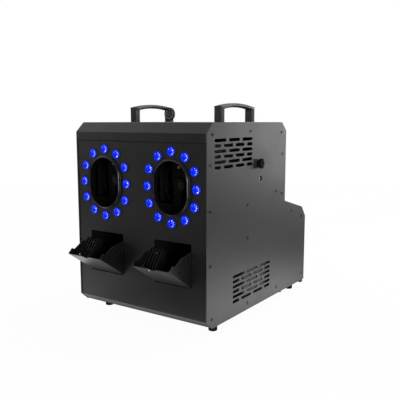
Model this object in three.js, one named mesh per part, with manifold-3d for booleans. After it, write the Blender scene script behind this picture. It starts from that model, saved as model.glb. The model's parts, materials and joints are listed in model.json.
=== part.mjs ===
// Stage fog and bubble machine: a steel cabinet with two LED-ringed bubble outlets above two fog outlets.
// Millimetres, +Z up. X is 0 on the centre line, the front faces -Y, and z is 0 under the rubber feet.
// Pieces are drawn in cabinet coordinates: y behind the front face, z above the cabinet bottom.
// The last step moves them all by FRONT_Y and FOOT_HEIGHT, so that y is 0 at the middle of the whole depth.

import * as THREE from 'three';
import { mergeVertices } from 'three/addons/utils/BufferGeometryUtils.js';
import Module from 'manifold-3d';

const wasm = await Module();
wasm.setup();

// Driving dimensions of the cabinet
const WIDTH = 370;
const HEIGHT = 433;
const UPPER_DEPTH = 358;
const FULL_DEPTH = 486;
const FOOT_HEIGHT = 23.5;
const SIDE_SHEET = 2.5;
const SHEET = 1.5;
const GAP = 0.3;
const PANEL_X = WIDTH / 2 - SIDE_SHEET - GAP;
const PANEL_FACE = SHEET + GAP;
const TOP_CHAMFER = { y: 24, z: 22 };
const REAR_CHAMFER = { y: 23.5, z: 20.5 };
const BOTTOM_CHAMFER = { y: 21.5, z: 18.8 };
const LIP_BOTTOM = HEIGHT - 40;
const STEP_TOP = 235;
const STEP_EDGE = { y: 463, z: 207 };
const STEP_REAR = 179;
const SLOPE = Math.atan2(STEP_TOP - STEP_EDGE.z, STEP_EDGE.y - UPPER_DEPTH);

// The two bubble outlets and their LED rings
const OUTLET_X = 95.2;
const OUTLET_Z = 296.7;
const LED_STRAIGHT = 11.8;
const RIM_STRAIGHT = 13.5;
const RIM_R = 48.2;
const RIM_FRONT = -5.2;
const CLEAR_R = 42.5;
const LED_COUNT = 12;
const LED_PATH_R = 64.6;
const LENS_R = 10.1;
const LENS_HOLE_R = 11;

// The two fog outlets and their hinged flaps
const FOG_X = 95.2;
const FOG_HALF_WIDTH = 50.5;
const FOG_BOTTOM = 84.7;
const FOG_TOP = 180.7;
const FLAP_LENGTH = 92;
const FLAP_HALF_WIDTH = 49.6;
const FLAP_OPEN = THREE.MathUtils.degToRad(56);
const KNUCKLE_R = 3;
const PIN_R = 1.5;
const PIN_FIT = 0.06;
const PIN_Y = PANEL_FACE + KNUCKLE_R;
const PIN_Z = FOG_BOTTOM + KNUCKLE_R + 0.4;

// The bubble wheels, their drive, their fans and the fluid tray
const WHEEL_Z = OUTLET_Z + 3;
const WHEEL_R = 57;
const WHEEL_RINGS = 8;
const WHEEL_FRONT = 50;
const BRACKET_Y = 34;
const BRACKET_HALF = 22;
const CROSSBAR_Y = 94;
const SHAFT_R = 3;
const SHAFT_FIT = 0.06;
const HOUSING_HALF = 60;
const HOUSING_BACK = 190;
const FAN_HALF = 46;
const FAN_DEPTH = 25;
const FAN_HOLE_R = 43;
const FAN_Z = OUTLET_Z + 20;
const FAN_PIN_R = 2;
const TRAY = { x: 166, y0: 38, y1: 174, bottom: 224.6, top: 256, wall: 2 };
const SHELF_TOP = TRAY.bottom - GAP;

// Handles, bracket knobs and feet
const HANDLE_X = 124;
const HANDLE_Y = 210.6;
const HANDLE_HALF = 76;
const HANDLE_WIDTH = 20;
const DISC = { x: -112, z: 454, r: 16.6, y0: 263.5 };
const KNOB_Y = 217;
const KNOB_Z = 338.6;
const KNOB_R = 12;
const STUD_R = 4;
const STUD_FIT = 0.2;
const INDEX_HOLE = { y: 227.5, z: 302.7, r: 5.75 };
const FOOT_X = 156;
const FOOT_YS = { front: 69, rear: 452 };
const FOOT_R = 10;

// Fog generator, fluid tanks and their filler caps
const FLOOR_TOP = 3.3;
const HEATER = { half: 38, y0: 120, y1: 290, z0: 40, z1: 96, feetYs: [135, 260], finXs: [-24, -8, 8, 24] };
const NOZZLE_R = 5;
const PUMP = { x: -125, z: 32, r: 18, y0: 190, y1: 262 };
const TANK = { half: 39, y0: 368, y1: 470, z0: 12, wall: 2.5, under: 10 };
const TANK_NECK_R = 16;
const CAP_Y = 410;
const CAP_XS = [['fog', -132], ['bubble', -46]];
const CAP = { r: 21, fit: 0.4, top: 14, hollow: 10 };

// Rear connection panel
const REAR_FACE = 483.8;
const REAR_PROUD = 4.2;
const BUTTON_XS = [60, 80, 100, 120];
const BUTTON_Z = 108;
const DISPLAY = { x0: 58, x1: 122, z0: 124, z1: 152 };
const SOCKETS = [['in', 42], ['out', 84]];
const SOCKET_Z = 48;
const INLET = { x: 143, z0: 20, z1: 84, half: 25 };
const ROCKER_Z = 66;
const ROCKER_Y = REAR_FACE - 2.5;
const ROCKER_REST = THREE.MathUtils.degToRad(8);

const LIP_OUT = FLAP_LENGTH * Math.sin(FLAP_OPEN) + KNUCKLE_R * Math.cos(FLAP_OPEN) - PIN_Y;
const FRONT_Y = (LIP_OUT - REAR_FACE - REAR_PROUD) / 2;

const FINISHES = {
  black_steel: { color: 0x2a2a2c, roughness: 0.5, metalness: 0.3 },
  black_plastic: { color: 0x1c1c1e, roughness: 0.6, metalness: 0 },
  rubber: { color: 0x101010, roughness: 0.9, metalness: 0 },
  blue_lens: { color: 0x1c2cff, roughness: 0.2, metalness: 0, emissive: 0x1020c0 },
  bare_steel: { color: 0xb0b2b4, roughness: 0.35, metalness: 0.9 },
  aluminium: { color: 0xc4c6c8, roughness: 0.45, metalness: 0.8 },
  brass: { color: 0xb99445, roughness: 0.35, metalness: 0.9 },
  circuit_board: { color: 0x1d5a34, roughness: 0.6, metalness: 0 },
  tank_plastic: { color: 0xd8dad6, roughness: 0.5, metalness: 0 },
  wheel_plastic: { color: 0x2f6fb0, roughness: 0.4, metalness: 0 },
  display_glass: { color: 0x101418, roughness: 0.1, metalness: 0 },
};

// Flat outlines as lists of [a, b] points

function arc(a, b, r, from, to, steps) {
  return Array.from({ length: steps + 1 }, (_, i) => {
    const t = THREE.MathUtils.degToRad(from + ((to - from) * i) / steps);
    return [a + r * Math.cos(t), b + r * Math.sin(t)];
  });
}

const circle = (a, b, r, steps) => arc(a, b, r, 0, 360, steps).slice(0, -1);
const rectangle = (a0, a1, b0, b1) => [[a0, b0], [a1, b0], [a1, b1], [a0, b1]];

// A tall slot with round ends: half circles of radius r, `half` above and below its centre.
const tallSlot = (a, b, r, half, steps) => [
  ...arc(a, b + half, r, 0, 180, steps),
  ...arc(a, b - half, r, 180, 360, steps),
];

const longSlot = (a0, a1, b, r, steps) => [
  ...arc(a1 - r, b, r, -90, 90, steps),
  ...arc(a0 + r, b, r, 90, 270, steps),
];

// The outline of a folded sheet: a path of outer corners, and the same path moved left by the thickness
function foldedSheet(path, thickness) {
  const points = path.map(([a, b]) => new THREE.Vector2(a, b));
  const inner = points.map((p, i) => {
    const before = p.clone().sub(points[Math.max(i - 1, 0)]);
    const after = points[Math.min(i + 1, points.length - 1)].clone().sub(p);
    const d1 = (before.lengthSq() ? before : after).clone().normalize();
    const d2 = (after.lengthSq() ? after : before).clone().normalize();
    const mitre = new THREE.Vector2(-d1.y - d2.y, d1.x + d2.x).normalize();
    return p.clone().addScaledVector(mitre, thickness / mitre.dot(new THREE.Vector2(-d1.y, d1.x)));
  });
  return [...points, ...inner.reverse()].map((p) => [p.x, p.y]);
}

// Solids

function weld(geometry) {
  const bare = geometry.clone();
  bare.deleteAttribute('normal');
  bare.deleteAttribute('uv');
  const merged = mergeVertices(bare, 1e-3);
  const index = merged.index.array;
  const kept = [];
  for (let i = 0; i < index.length; i += 3) {
    const [a, b, c] = index.slice(i, i + 3);
    if (a !== b && b !== c && c !== a) kept.push(a, b, c);
  }
  merged.setIndex(kept);
  return merged;
}

function extrude(outline, holes, depth) {
  const shape = new THREE.Shape(outline.map((p) => new THREE.Vector2(...p)));
  shape.holes = holes.map((hole) => new THREE.Path(hole.map((p) => new THREE.Vector2(...p))));
  return new THREE.ExtrudeGeometry(shape, { depth, bevelEnabled: false, curveSegments: 1, steps: 1 });
}

const ALONG_X = new THREE.Matrix4().set(0, 0, 1, 0, 1, 0, 0, 0, 0, 1, 0, 0, 0, 0, 0, 1);
const ALONG_Y = new THREE.Matrix4().set(1, 0, 0, 0, 0, 0, -1, 0, 0, 1, 0, 0, 0, 0, 0, 1);

// A (y, z) outline pushed from x0 to x1, an (x, z) outline from y0 to y1, and an (x, y) outline from z0 to z1
const plateX = (outline, x0, x1, holes = []) =>
  extrude(outline, holes, x1 - x0).applyMatrix4(ALONG_X).translate(x0, 0, 0);
const plateY = (outline, y0, y1, holes = []) =>
  extrude(outline, holes, y1 - y0).applyMatrix4(ALONG_Y).translate(0, y1, 0);
const plateZ = (outline, z0, z1, holes = []) => extrude(outline, holes, z1 - z0).translate(0, 0, z0);

const block = (x0, x1, y0, y1, z0, z1) => plateZ(rectangle(x0, x1, y0, y1), z0, z1);
const rodX = (x0, x1, y, z, r, steps = 16) => plateX(circle(y, z, r, steps), x0, x1);
const rodY = (x, y0, y1, z, r, steps = 16) => plateY(circle(x, z, r, steps), y0, y1);
const rodZ = (x, y, z0, z1, r, steps = 16) => plateZ(circle(x, y, r, steps), z0, z1);

// A turned solid about the Z axis: [radius, height] pairs going up, starting and ending on the axis
const turned = (profile, steps) =>
  new THREE.LatheGeometry(profile.map((p) => new THREE.Vector2(...p)), steps).rotateX(Math.PI / 2);

function toManifold(geometry) {
  const mesh = weld(geometry);
  return new wasm.Manifold(new wasm.Mesh({
    numProp: 3,
    vertProperties: new Float32Array(mesh.attributes.position.array),
    triVerts: new Uint32Array(mesh.index.array),
  }));
}

function fromManifold(solid) {
  const mesh = solid.getMesh();
  const geometry = new THREE.BufferGeometry();
  geometry.setAttribute('position', new THREE.BufferAttribute(new Float32Array(mesh.vertProperties), 3));
  geometry.setIndex(Array.from(mesh.triVerts));
  return geometry;
}

const join = (...pieces) => fromManifold(pieces.map(toManifold).reduce((a, b) => a.add(b)));
const cut = (body, ...tools) =>
  fromManifold(tools.map(toManifold).reduce((a, b) => a.subtract(b), toManifold(body)));

// The finished object

const machine = new THREE.Group();
machine.name = 'fog_bubble_machine';

function add(name, finish, geometry) {
  const shown = weld(geometry).translate(0, FRONT_Y, FOOT_HEIGHT);
  shown.computeVertexNormals();
  const mesh = new THREE.Mesh(shown, new THREE.MeshStandardMaterial(FINISHES[finish]));
  mesh.name = name;
  machine.add(mesh);
}

const SIDES = [['left', -1], ['right', 1]];
const mirrored = (geometry, side) => (side > 0 ? geometry : flipX(geometry));

function flipX(geometry) {
  const flipped = weld(geometry).scale(-1, 1, 1);
  const index = flipped.index.array;
  for (let i = 0; i < index.length; i += 3) [index[i], index[i + 1]] = [index[i + 1], index[i]];
  return flipped;
}

// Cabinet sheets

const SIDE_OUTLINE = [
  [0, BOTTOM_CHAMFER.z],
  [BOTTOM_CHAMFER.y, 0],
  [FULL_DEPTH, 0],
  [FULL_DEPTH, STEP_REAR],
  [STEP_EDGE.y, STEP_EDGE.z],
  [UPPER_DEPTH, STEP_TOP],
  [UPPER_DEPTH, HEIGHT - REAR_CHAMFER.z],
  [UPPER_DEPTH - REAR_CHAMFER.y, HEIGHT],
  [TOP_CHAMFER.y, HEIGHT],
  [0, HEIGHT - TOP_CHAMFER.z],
];

// Six rows of slots in a brick pattern, from y0 to y1: three equal slots, then four with short end slots.
function ventSlots(y0, y1, topRow, pitch, slotR, gap) {
  const slots = [];
  const third = (y1 - y0 - 2 * gap) / 3;
  const end = third * 0.545;
  const middle = (y1 - y0 - 3 * gap - 2 * end) / 2;
  for (let row = 0; row < 6; row += 1) {
    const lengths = row % 2 === 0 ? [third, third, third] : [end, middle, middle, end];
    let start = y0;
    for (const length of lengths) {
      slots.push(longSlot(start, start + length, topRow - row * pitch, slotR, 3));
      start += length + gap;
    }
  }
  return slots;
}

const UPPER_VENT = ventSlots(28, 185, 396.4, 11.3, 3.4, 11);
const LOWER_VENT = ventSlots(105.5, 281, 92.5, 11.5, 3.4, 9);

function addSidePanels() {
  const holes = [
    ...UPPER_VENT,
    ...LOWER_VENT,
    circle(INDEX_HOLE.y, INDEX_HOLE.z, INDEX_HOLE.r, 16),
    circle(KNOB_Y, KNOB_Z, STUD_R + STUD_FIT, 16),
  ];
  const panel = plateX(SIDE_OUTLINE, WIDTH / 2 - SIDE_SHEET, WIDTH / 2, holes);
  for (const [name, side] of SIDES) add(`side_panel_${name}`, 'black_steel', mirrored(panel, side));
}

function addCovers() {
  const topPath = [
    [UPPER_DEPTH, LIP_BOTTOM],
    [UPPER_DEPTH, HEIGHT - REAR_CHAMFER.z],
    [UPPER_DEPTH - REAR_CHAMFER.y, HEIGHT],
    [TOP_CHAMFER.y, HEIGHT],
    [0, HEIGHT - TOP_CHAMFER.z],
    [0, LIP_BOTTOM],
  ];
  add('top_cover', 'black_steel', plateX(foldedSheet(topPath, SHEET), -PANEL_X, PANEL_X));

  const overlap = 15;
  const rearUpperFace = UPPER_DEPTH - SHEET - GAP;
  const rearLip = 9;
  const rearPath = [
    [FULL_DEPTH - 0.4, STEP_REAR - rearLip],
    [FULL_DEPTH - 0.4, STEP_REAR],
    [STEP_EDGE.y, STEP_EDGE.z],
    [rearUpperFace, STEP_EDGE.z + (STEP_EDGE.y - rearUpperFace) * Math.tan(SLOPE)],
    [rearUpperFace, LIP_BOTTOM + overlap],
  ];
  const cover = plateX(foldedSheet(rearPath, SHEET), -PANEL_X, PANEL_X);
  const necks = CAP_XS.map(([, x]) => onSlope(rodZ(0, 0, -10, 10, TANK_NECK_R + 0.8, 24), x));
  add('rear_step_cover', 'black_steel', cut(cover, ...necks));

  const frontOfBase = BOTTOM_CHAMFER.y + 2.5;
  add('base_plate', 'black_steel', block(-PANEL_X, PANEL_X, frontOfBase, REAR_FACE, 1, 3));
}

// Points spaced evenly along the slot-shaped LED path, starting at its top and going round clockwise
function ledPlaces() {
  const quarter = (Math.PI / 2) * LED_PATH_R;
  const perimeter = 4 * (quarter + LED_STRAIGHT);
  return Array.from({ length: LED_COUNT }, (_, i) => {
    const along = (i * perimeter) / LED_COUNT;
    const folded = Math.min(along, perimeter - along);
    const fromEnd = Math.min(folded, perimeter / 2 - folded);
    const turn = Math.min(fromEnd, quarter) / LED_PATH_R;
    const straight = Math.max(fromEnd - quarter, 0);
    const x = LED_PATH_R * Math.sin(turn) * Math.sign(perimeter / 2 - along);
    const z = LED_PATH_R * Math.cos(turn) + LED_STRAIGHT - straight;
    return [Math.abs(x) < 1e-6 ? 0 : x, folded > perimeter / 4 + 1e-6 ? -z : z];
  });
}

function addFrontPanel() {
  const chamferEnd = 0.2;
  const path = [
    [PANEL_FACE, LIP_BOTTOM + 15],
    [PANEL_FACE, BOTTOM_CHAMFER.z - 0.4],
    [BOTTOM_CHAMFER.y + 0.4, chamferEnd],
  ];
  const sheet = plateX(foldedSheet(path, 2), -PANEL_X, PANEL_X);
  const tools = [];
  for (const side of [-1, 1]) {
    const through = (outline) => plateY(outline, -5, 12);
    tools.push(through(tallSlot(side * OUTLET_X, OUTLET_Z, RIM_R - 2.2, RIM_STRAIGHT, 12)));
    for (const [x, z] of ledPlaces()) {
      tools.push(through(circle(side * OUTLET_X + x, OUTLET_Z + z, LENS_HOLE_R, 12)));
    }
    const fogX = side * FOG_X;
    tools.push(through(rectangle(fogX - FOG_HALF_WIDTH, fogX + FOG_HALF_WIDTH, FOG_BOTTOM, FOG_TOP)));
  }
  const lugs = [];
  for (const side of [-1, 1]) {
    for (const end of [-1, 1]) {
      const inner = side * FOG_X + end * (FOG_HALF_WIDTH + 0.4);
      const outer = inner + end * SHEET;
      lugs.push(block(
        Math.min(inner, outer), Math.max(inner, outer), PANEL_FACE + 1, PIN_Y + 5, PIN_Z - 5, PIN_Z + 5,
      ));
    }
  }
  const pinBores = [-1, 1].map((side) => rodX(
    side * FOG_X - FOG_HALF_WIDTH - 6, side * FOG_X + FOG_HALF_WIDTH + 6, PIN_Y, PIN_Z, PIN_R + PIN_FIT, 12,
  ));
  add('front_panel', 'black_steel', cut(join(cut(sheet, ...tools), ...lugs), ...pinBores));
}

function addOutlets() {
  const rearOfRim = 8;
  const beadStep = 2.4;
  for (const [name, side] of SIDES) {
    const x = side * OUTLET_X;
    const slot = (r) => tallSlot(x, OUTLET_Z, r, RIM_STRAIGHT, 12);
    const bead = plateY(slot(RIM_R), -beadStep, PANEL_FACE - GAP, [slot(CLEAR_R)]);
    const sleeve = plateY(slot(RIM_R - 2.6), RIM_FRONT, rearOfRim, [slot(CLEAR_R)]);
    add(`outlet_rim_${name}`, 'black_plastic', join(bead, sleeve));

    const around = (r) => tallSlot(x, OUTLET_Z, r, LED_STRAIGHT, 8);
    const ring = (y0, y1) => plateY(around(LED_PATH_R + 11.6), y0, y1, [around(LED_PATH_R - 10.8)]);
    const lenses = ledPlaces().map(([dx, dz]) => lens(x + dx, OUTLET_Z + dz));
    add(`led_lenses_${name}`, 'blue_lens', join(ring(8.5, 10.5), ...lenses));
    add(`led_board_${name}`, 'circuit_board', ring(10.8, 12.4));
  }
}

// One lens: a straight stem behind a shallow dome that stands just proud of the front panel
function lens(x, z) {
  const profile = [[0, 0], [LENS_R, 0], [LENS_R, 10.4], [LENS_R * 0.72, 12.1], [0, 13.1]];
  return turned(profile, 12).rotateX(Math.PI / 2).translate(x, 10, z);
}

// Fog flaps

// A point of the flap, u along its plate from the hinge pin and v into the cabinet, with the flap shut
const flapPoint = (u, v) => [PIN_Y + v, PIN_Z + u];

// Behind the lip the cheek has an ear and then a shallow dip before its round edge.
function cheekOutline() {
  const ear = [[87.6, 10.6], [86.4, 12.2], [84.2, 13], [80, 12.7], [76.6, 13], [74.8, 14.6]];
  const rim = arc(0, 0, 75, 13, 66, 8);
  return [[0, -KNUCKLE_R], [FLAP_LENGTH, -KNUCKLE_R], ...ear, ...rim, [-1.5, 2.2]]
    .map(([u, v]) => flapPoint(u, v));
}

function addFlaps() {
  const indexR = 58.5;
  const indexAngles = [10, 22, 34, 46];
  for (const [name, side] of SIDES) {
    const x0 = side * FOG_X - FLAP_HALF_WIDTH;
    const x1 = side * FOG_X + FLAP_HALF_WIDTH;
    const holes = indexAngles.map((angle) => {
      const t = THREE.MathUtils.degToRad(angle);
      return circle(...flapPoint(indexR * Math.cos(t), indexR * Math.sin(t)), 2.2, 8);
    });
    const front = PIN_Y - KNUCKLE_R;
    const notch = arc(side * FOG_X + 3.5, PIN_Z + FLAP_LENGTH, 8, 180, 360, 6);
    const plateOutline = [
      [x0, PIN_Z], [x1, PIN_Z], [x1, PIN_Z + FLAP_LENGTH], ...[...notch].reverse(), [x0, PIN_Z + FLAP_LENGTH],
    ];
    const flap = cut(
      join(
        plateY(plateOutline, front, front + SHEET),
        plateX(cheekOutline(), x0, x0 + SHEET, holes),
        plateX(cheekOutline(), x1 - SHEET, x1, holes),
        rodX(x0, x1, PIN_Y, PIN_Z, KNUCKLE_R, 12),
      ),
      rodX(x0 - 1, x1 + 1, PIN_Y, PIN_Z, PIN_R + PIN_FIT, 12),
    );
    flap.translate(0, -PIN_Y, -PIN_Z).rotateX(FLAP_OPEN).translate(0, PIN_Y, PIN_Z);
    add(`fog_flap_${name}`, 'black_steel', flap);
    const pinEnd = FOG_HALF_WIDTH + 2.6;
    add(`flap_pin_${name}`, 'bare_steel', rodX(
      side * FOG_X - pinEnd, side * FOG_X + pinEnd, PIN_Y, PIN_Z, PIN_R, 12,
    ));
  }
}

// Handles, knobs and feet

function addHandles() {
  const bottom = HEIGHT + GAP;
  const postTop = HEIGHT + 37;
  const peak = HEIGHT + 44;
  const postWidth = 14;
  const grip = 9.5;
  const bow = (half, base, rise, steps) => {
    const radius = (half * half + rise * rise) / (2 * rise);
    const spread = THREE.MathUtils.radToDeg(Math.asin(half / radius));
    return arc(HANDLE_Y, base + rise - radius, radius, 90 - spread, 90 + spread, steps);
  };
  const outer = bow(HANDLE_HALF, postTop, peak - postTop, 10);
  const inner = bow(HANDLE_HALF - postWidth, postTop - grip, peak - postTop, 10).reverse();
  const outline = [
    [HANDLE_Y + HANDLE_HALF, bottom],
    ...outer,
    [HANDLE_Y - HANDLE_HALF, bottom],
    [HANDLE_Y - HANDLE_HALF + postWidth, bottom],
    ...inner,
    [HANDLE_Y + HANDLE_HALF - postWidth, bottom],
  ];
  const farPost = HANDLE_Y + HANDLE_HALF - postWidth;
  const neckX = -HANDLE_X + HANDLE_WIDTH / 2 - 6;
  const disc = [
    rodY(DISC.x, DISC.y0, DISC.y0 + 5, DISC.z, DISC.r, 24),
    rodY(neckX, DISC.y0 + 4, farPost + 2, DISC.z, 5, 16),
  ];
  for (const [name, side] of SIDES) {
    const handle = plateX(outline, side * HANDLE_X - HANDLE_WIDTH / 2, side * HANDLE_X + HANDLE_WIDTH / 2);
    add(`handle_${name}`, 'black_plastic', side < 0 ? join(handle, ...disc) : handle);
  }
}

function addKnobs() {
  const arms = 6;
  const armHeight = 3.8;
  const outline = Array.from({ length: arms * 8 }, (_, i) => {
    const t = (i / (arms * 8)) * 2 * Math.PI;
    const r = KNOB_R - (armHeight / 2) * (1 + Math.cos(arms * t));
    return [KNOB_Y + r * Math.cos(t), KNOB_Z + r * Math.sin(t)];
  });
  const face = WIDTH / 2 + GAP;
  const knob = join(
    rodX(face, face + 2.5, KNOB_Y, KNOB_Z, 8, 16),
    plateX(outline, face + 2, face + 8.5),
    rodX(WIDTH / 2 - 14, face + 1, KNOB_Y, KNOB_Z, STUD_R, 16),
  );
  for (const [name, side] of SIDES) add(`bracket_knob_${name}`, 'black_plastic', mirrored(knob, side));
}

function addFeet() {
  const top = FOOT_HEIGHT + 0.7;
  const profile = [[0, 0], [FOOT_R - 1.2, 0], [FOOT_R, 1.4], [FOOT_R - 1, top], [0, top]];
  for (const [end, y] of Object.entries(FOOT_YS)) {
    for (const [name, side] of SIDES) {
      add(`foot_${end}_${name}`, 'rubber', turned(profile, 20).translate(side * FOOT_X, y, -FOOT_HEIGHT));
    }
  }
  add('drain_plug', 'black_plastic', rodZ(170, 362, -8, 0.7, 7, 16));
}

// Bubble drive: wheel housings, front brackets, wheels, shafts, motors, fans and the fluid tray

function addBubbleDrive() {
  const half = HOUSING_HALF;
  const wall = SHEET;
  const housingFront = 38;
  const bore = (x, y0, y1) => rodY(x, y0, y1, WHEEL_Z, SHAFT_R + SHAFT_FIT, 16);
  for (const [name, side] of SIDES) {
    const x = side * OUTLET_X;
    const plan = [
      [x - half, housingFront], [x - half + wall, housingFront], [x - half + wall, HOUSING_BACK - wall],
      [x + half - wall, HOUSING_BACK - wall], [x + half - wall, housingFront], [x + half, housingFront],
      [x + half, HOUSING_BACK], [x - half, HOUSING_BACK],
    ];
    const barEnd = half - 1;
    const crossbar = block(x - barEnd, x + barEnd, CROSSBAR_Y, CROSSBAR_Y + wall, WHEEL_Z - 20, WHEEL_Z + 20);
    add(`wheel_housing_${name}`, 'black_steel', cut(
      join(plateZ(plan, TRAY.top + 4, 390), crossbar),
      bore(x, CROSSBAR_Y - 2, CROSSBAR_Y + 4),
      rodY(x, HOUSING_BACK - 3, HOUSING_BACK + 1, FAN_Z, 0.8 * FAN_HOLE_R, 20),
    ));
    const strip = plateX(foldedSheet([
      [BRACKET_Y - 10, SHELF_TOP + GAP], [BRACKET_Y, SHELF_TOP + GAP], [BRACKET_Y, 392],
    ], SHEET), x - BRACKET_HALF, x + BRACKET_HALF);
    const belowBoss = block(
      x + 2, x + BRACKET_HALF + 1, BRACKET_Y - 2, BRACKET_Y + 1, SHELF_TOP + 10, WHEEL_Z - 18,
    );
    add(`wheel_bracket_${name}`, 'black_steel', cut(
      join(cut(strip, belowBoss), rodY(x, BRACKET_Y - 5, BRACKET_Y, WHEEL_Z, 15, 20)),
      rodY(x, BRACKET_Y - 6, BRACKET_Y - 3, WHEEL_Z, 8.5, 16),
      bore(x, BRACKET_Y - 6, BRACKET_Y + 3),
    ));
    add(`bubble_wheel_${name}`, 'wheel_plastic', bubbleWheel(x));
    const shaft = rodY(x, BRACKET_Y - 4, CROSSBAR_Y + wall + 8, WHEEL_Z, SHAFT_R, 16);
    add(`wheel_shaft_${name}`, 'bare_steel', shaft);
    add(`wheel_motor_${name}`, 'aluminium', gearMotor(x, CROSSBAR_Y + wall + GAP));
    add(`fan_frame_${name}`, 'black_plastic', fanFrame(x));
    add(`fan_rotor_${name}`, 'black_plastic', fanRotor(x));
  }
  add('fluid_tray', 'black_plastic', cut(
    block(-TRAY.x, TRAY.x, TRAY.y0, TRAY.y1, TRAY.bottom, TRAY.top),
    block(-TRAY.x + TRAY.wall, TRAY.x - TRAY.wall, TRAY.y0 + TRAY.wall, TRAY.y1 - TRAY.wall,
      TRAY.bottom + TRAY.wall, TRAY.top + 1),
  ));
  add('shelf_plate', 'black_steel', block(-PANEL_X, PANEL_X, 20, 350, SHELF_TOP - 2, SHELF_TOP));
}

// A flat wheel of bubble rings that faces the outlet, on a bored hub
function bubbleWheel(x) {
  const ringPathR = 41;
  const ringR = 13;
  const holes = Array.from({ length: WHEEL_RINGS }, (_, i) => {
    const t = ((i + 0.5) / WHEEL_RINGS) * 2 * Math.PI;
    return circle(x + ringPathR * Math.cos(t), WHEEL_Z + ringPathR * Math.sin(t), ringR, 12);
  });
  return cut(
    join(
      plateY(circle(x, WHEEL_Z, WHEEL_R, 32), WHEEL_FRONT, WHEEL_FRONT + 4, holes),
      rodY(x, WHEEL_FRONT - 6, WHEEL_FRONT + 20, WHEEL_Z, 9, 16),
    ),
    rodY(x, WHEEL_FRONT - 8, WHEEL_FRONT + 22, WHEEL_Z, SHAFT_R + SHAFT_FIT, 16),
  );
}

// A gearbox with a smaller motor can behind it, and a bore for the shaft end
function gearMotor(x, y) {
  const profile = [[0, 0], [12, 0], [12, 9], [18, 9], [18, 26], [0, 26]];
  const body = turned(profile, 20).rotateX(Math.PI / 2).translate(x, y + 26, WHEEL_Z);
  return cut(body, rodY(x, y - 1, y + 10, WHEEL_Z, SHAFT_R + SHAFT_FIT, 16));
}

function fanFrame(x) {
  const y0 = HOUSING_BACK + GAP;
  const y1 = y0 + FAN_DEPTH;
  const square = rectangle(x - FAN_HALF, x + FAN_HALF, FAN_Z - FAN_HALF, FAN_Z + FAN_HALF);
  const shell = plateY(square, y0, y1, [circle(x, FAN_Z, FAN_HOLE_R, 24)]);
  const struts = [0, 120, 240].map((angle) =>
    block(0, FAN_HOLE_R + 1, y1 - 3, y1, -2, 2)
      .rotateY(THREE.MathUtils.degToRad(angle + 30)).translate(x, 0, FAN_Z));
  const hub = rodY(x, y1 - 4, y1, FAN_Z, 16, 16);
  return join(shell, ...struts, hub, rodY(x, y0 + 8, y1 - 2, FAN_Z, FAN_PIN_R, 12));
}

function fanRotor(x) {
  const y0 = HOUSING_BACK + GAP + 3;
  const y1 = y0 + FAN_DEPTH - 8;
  const blades = Array.from({ length: 7 }, (_, i) =>
    block(12, FAN_HOLE_R - 1.5, -8, 8, -0.9, 0.9)
      .rotateX(THREE.MathUtils.degToRad(38))
      .rotateY(THREE.MathUtils.degToRad((i * 360) / 7))
      .translate(x, (y0 + y1) / 2, FAN_Z));
  const hub = rodY(x, y0, y1, FAN_Z, 15, 20);
  return cut(join(hub, ...blades), rodY(x, y0 + 4, y1 + 1, FAN_Z, FAN_PIN_R + PIN_FIT, 12));
}

// Fog generator, pump, tanks and electronics

function addFogGenerator() {
  const { half, y0, y1, z0, z1 } = HEATER;
  const footOut = 8;
  const footLength = 15;
  const foot = (y) => block(-half - footOut, half + footOut, y, y + footLength, FLOOR_TOP, z0 + 1);
  const heater = join(block(-half, half, y0, y1, z0, z1), ...HEATER.feetYs.map(foot));
  const grooves = HEATER.finXs.map((x) => block(x - 3, x + 3, y0 - 1, y1 + 1, z1 - 12, z1 + 1));
  add('fog_heater', 'aluminium', cut(heater, ...grooves));
  add('fog_manifold', 'brass', join(
    block(-26, 26, y0 - 12, y0 - GAP, 56, 68),
    ...SIDES.map(([, side]) => mirrored(fogNozzle(), side)),
  ));
  const { x, z, r } = PUMP;
  add('fog_pump', 'bare_steel', join(
    rodY(x, PUMP.y0, PUMP.y1, z, r, 20),
    rodY(x, PUMP.y0 - 10, PUMP.y0 + 2, z, r / 2, 12),
    block(x - r, x + r, PUMP.y0 + 10, PUMP.y1 - 10, FLOOR_TOP, z - 6),
  ));
}

// A bent pipe from the manifold block to the middle of one fog outlet
function fogNozzle() {
  const path = new THREE.CatmullRomCurve3([
    new THREE.Vector3(20, HEATER.y0 - 8, 62),
    new THREE.Vector3(20, HEATER.y0 - 16, 62),
    new THREE.Vector3(40, 92, 70),
    new THREE.Vector3(75, 84, 100),
    new THREE.Vector3(FOG_X, 74, 118),
    new THREE.Vector3(FOG_X, 52, 120),
  ]);
  const section = new THREE.Shape(circle(0, 0, NOZZLE_R, 8).map((p) => new THREE.Vector2(...p)));
  const options = { steps: 14, extrudePath: path, bevelEnabled: false, curveSegments: 1 };
  return new THREE.ExtrudeGeometry(section, options);
}

// Puts a solid drawn about the Z axis, with z = 0 on the step cover's outer face, at x on the sloping top.
function onSlope(geometry, x) {
  const z = STEP_TOP - (CAP_Y - UPPER_DEPTH) * Math.tan(SLOPE);
  return geometry.rotateX(-SLOPE).translate(x, CAP_Y, z);
}

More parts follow.
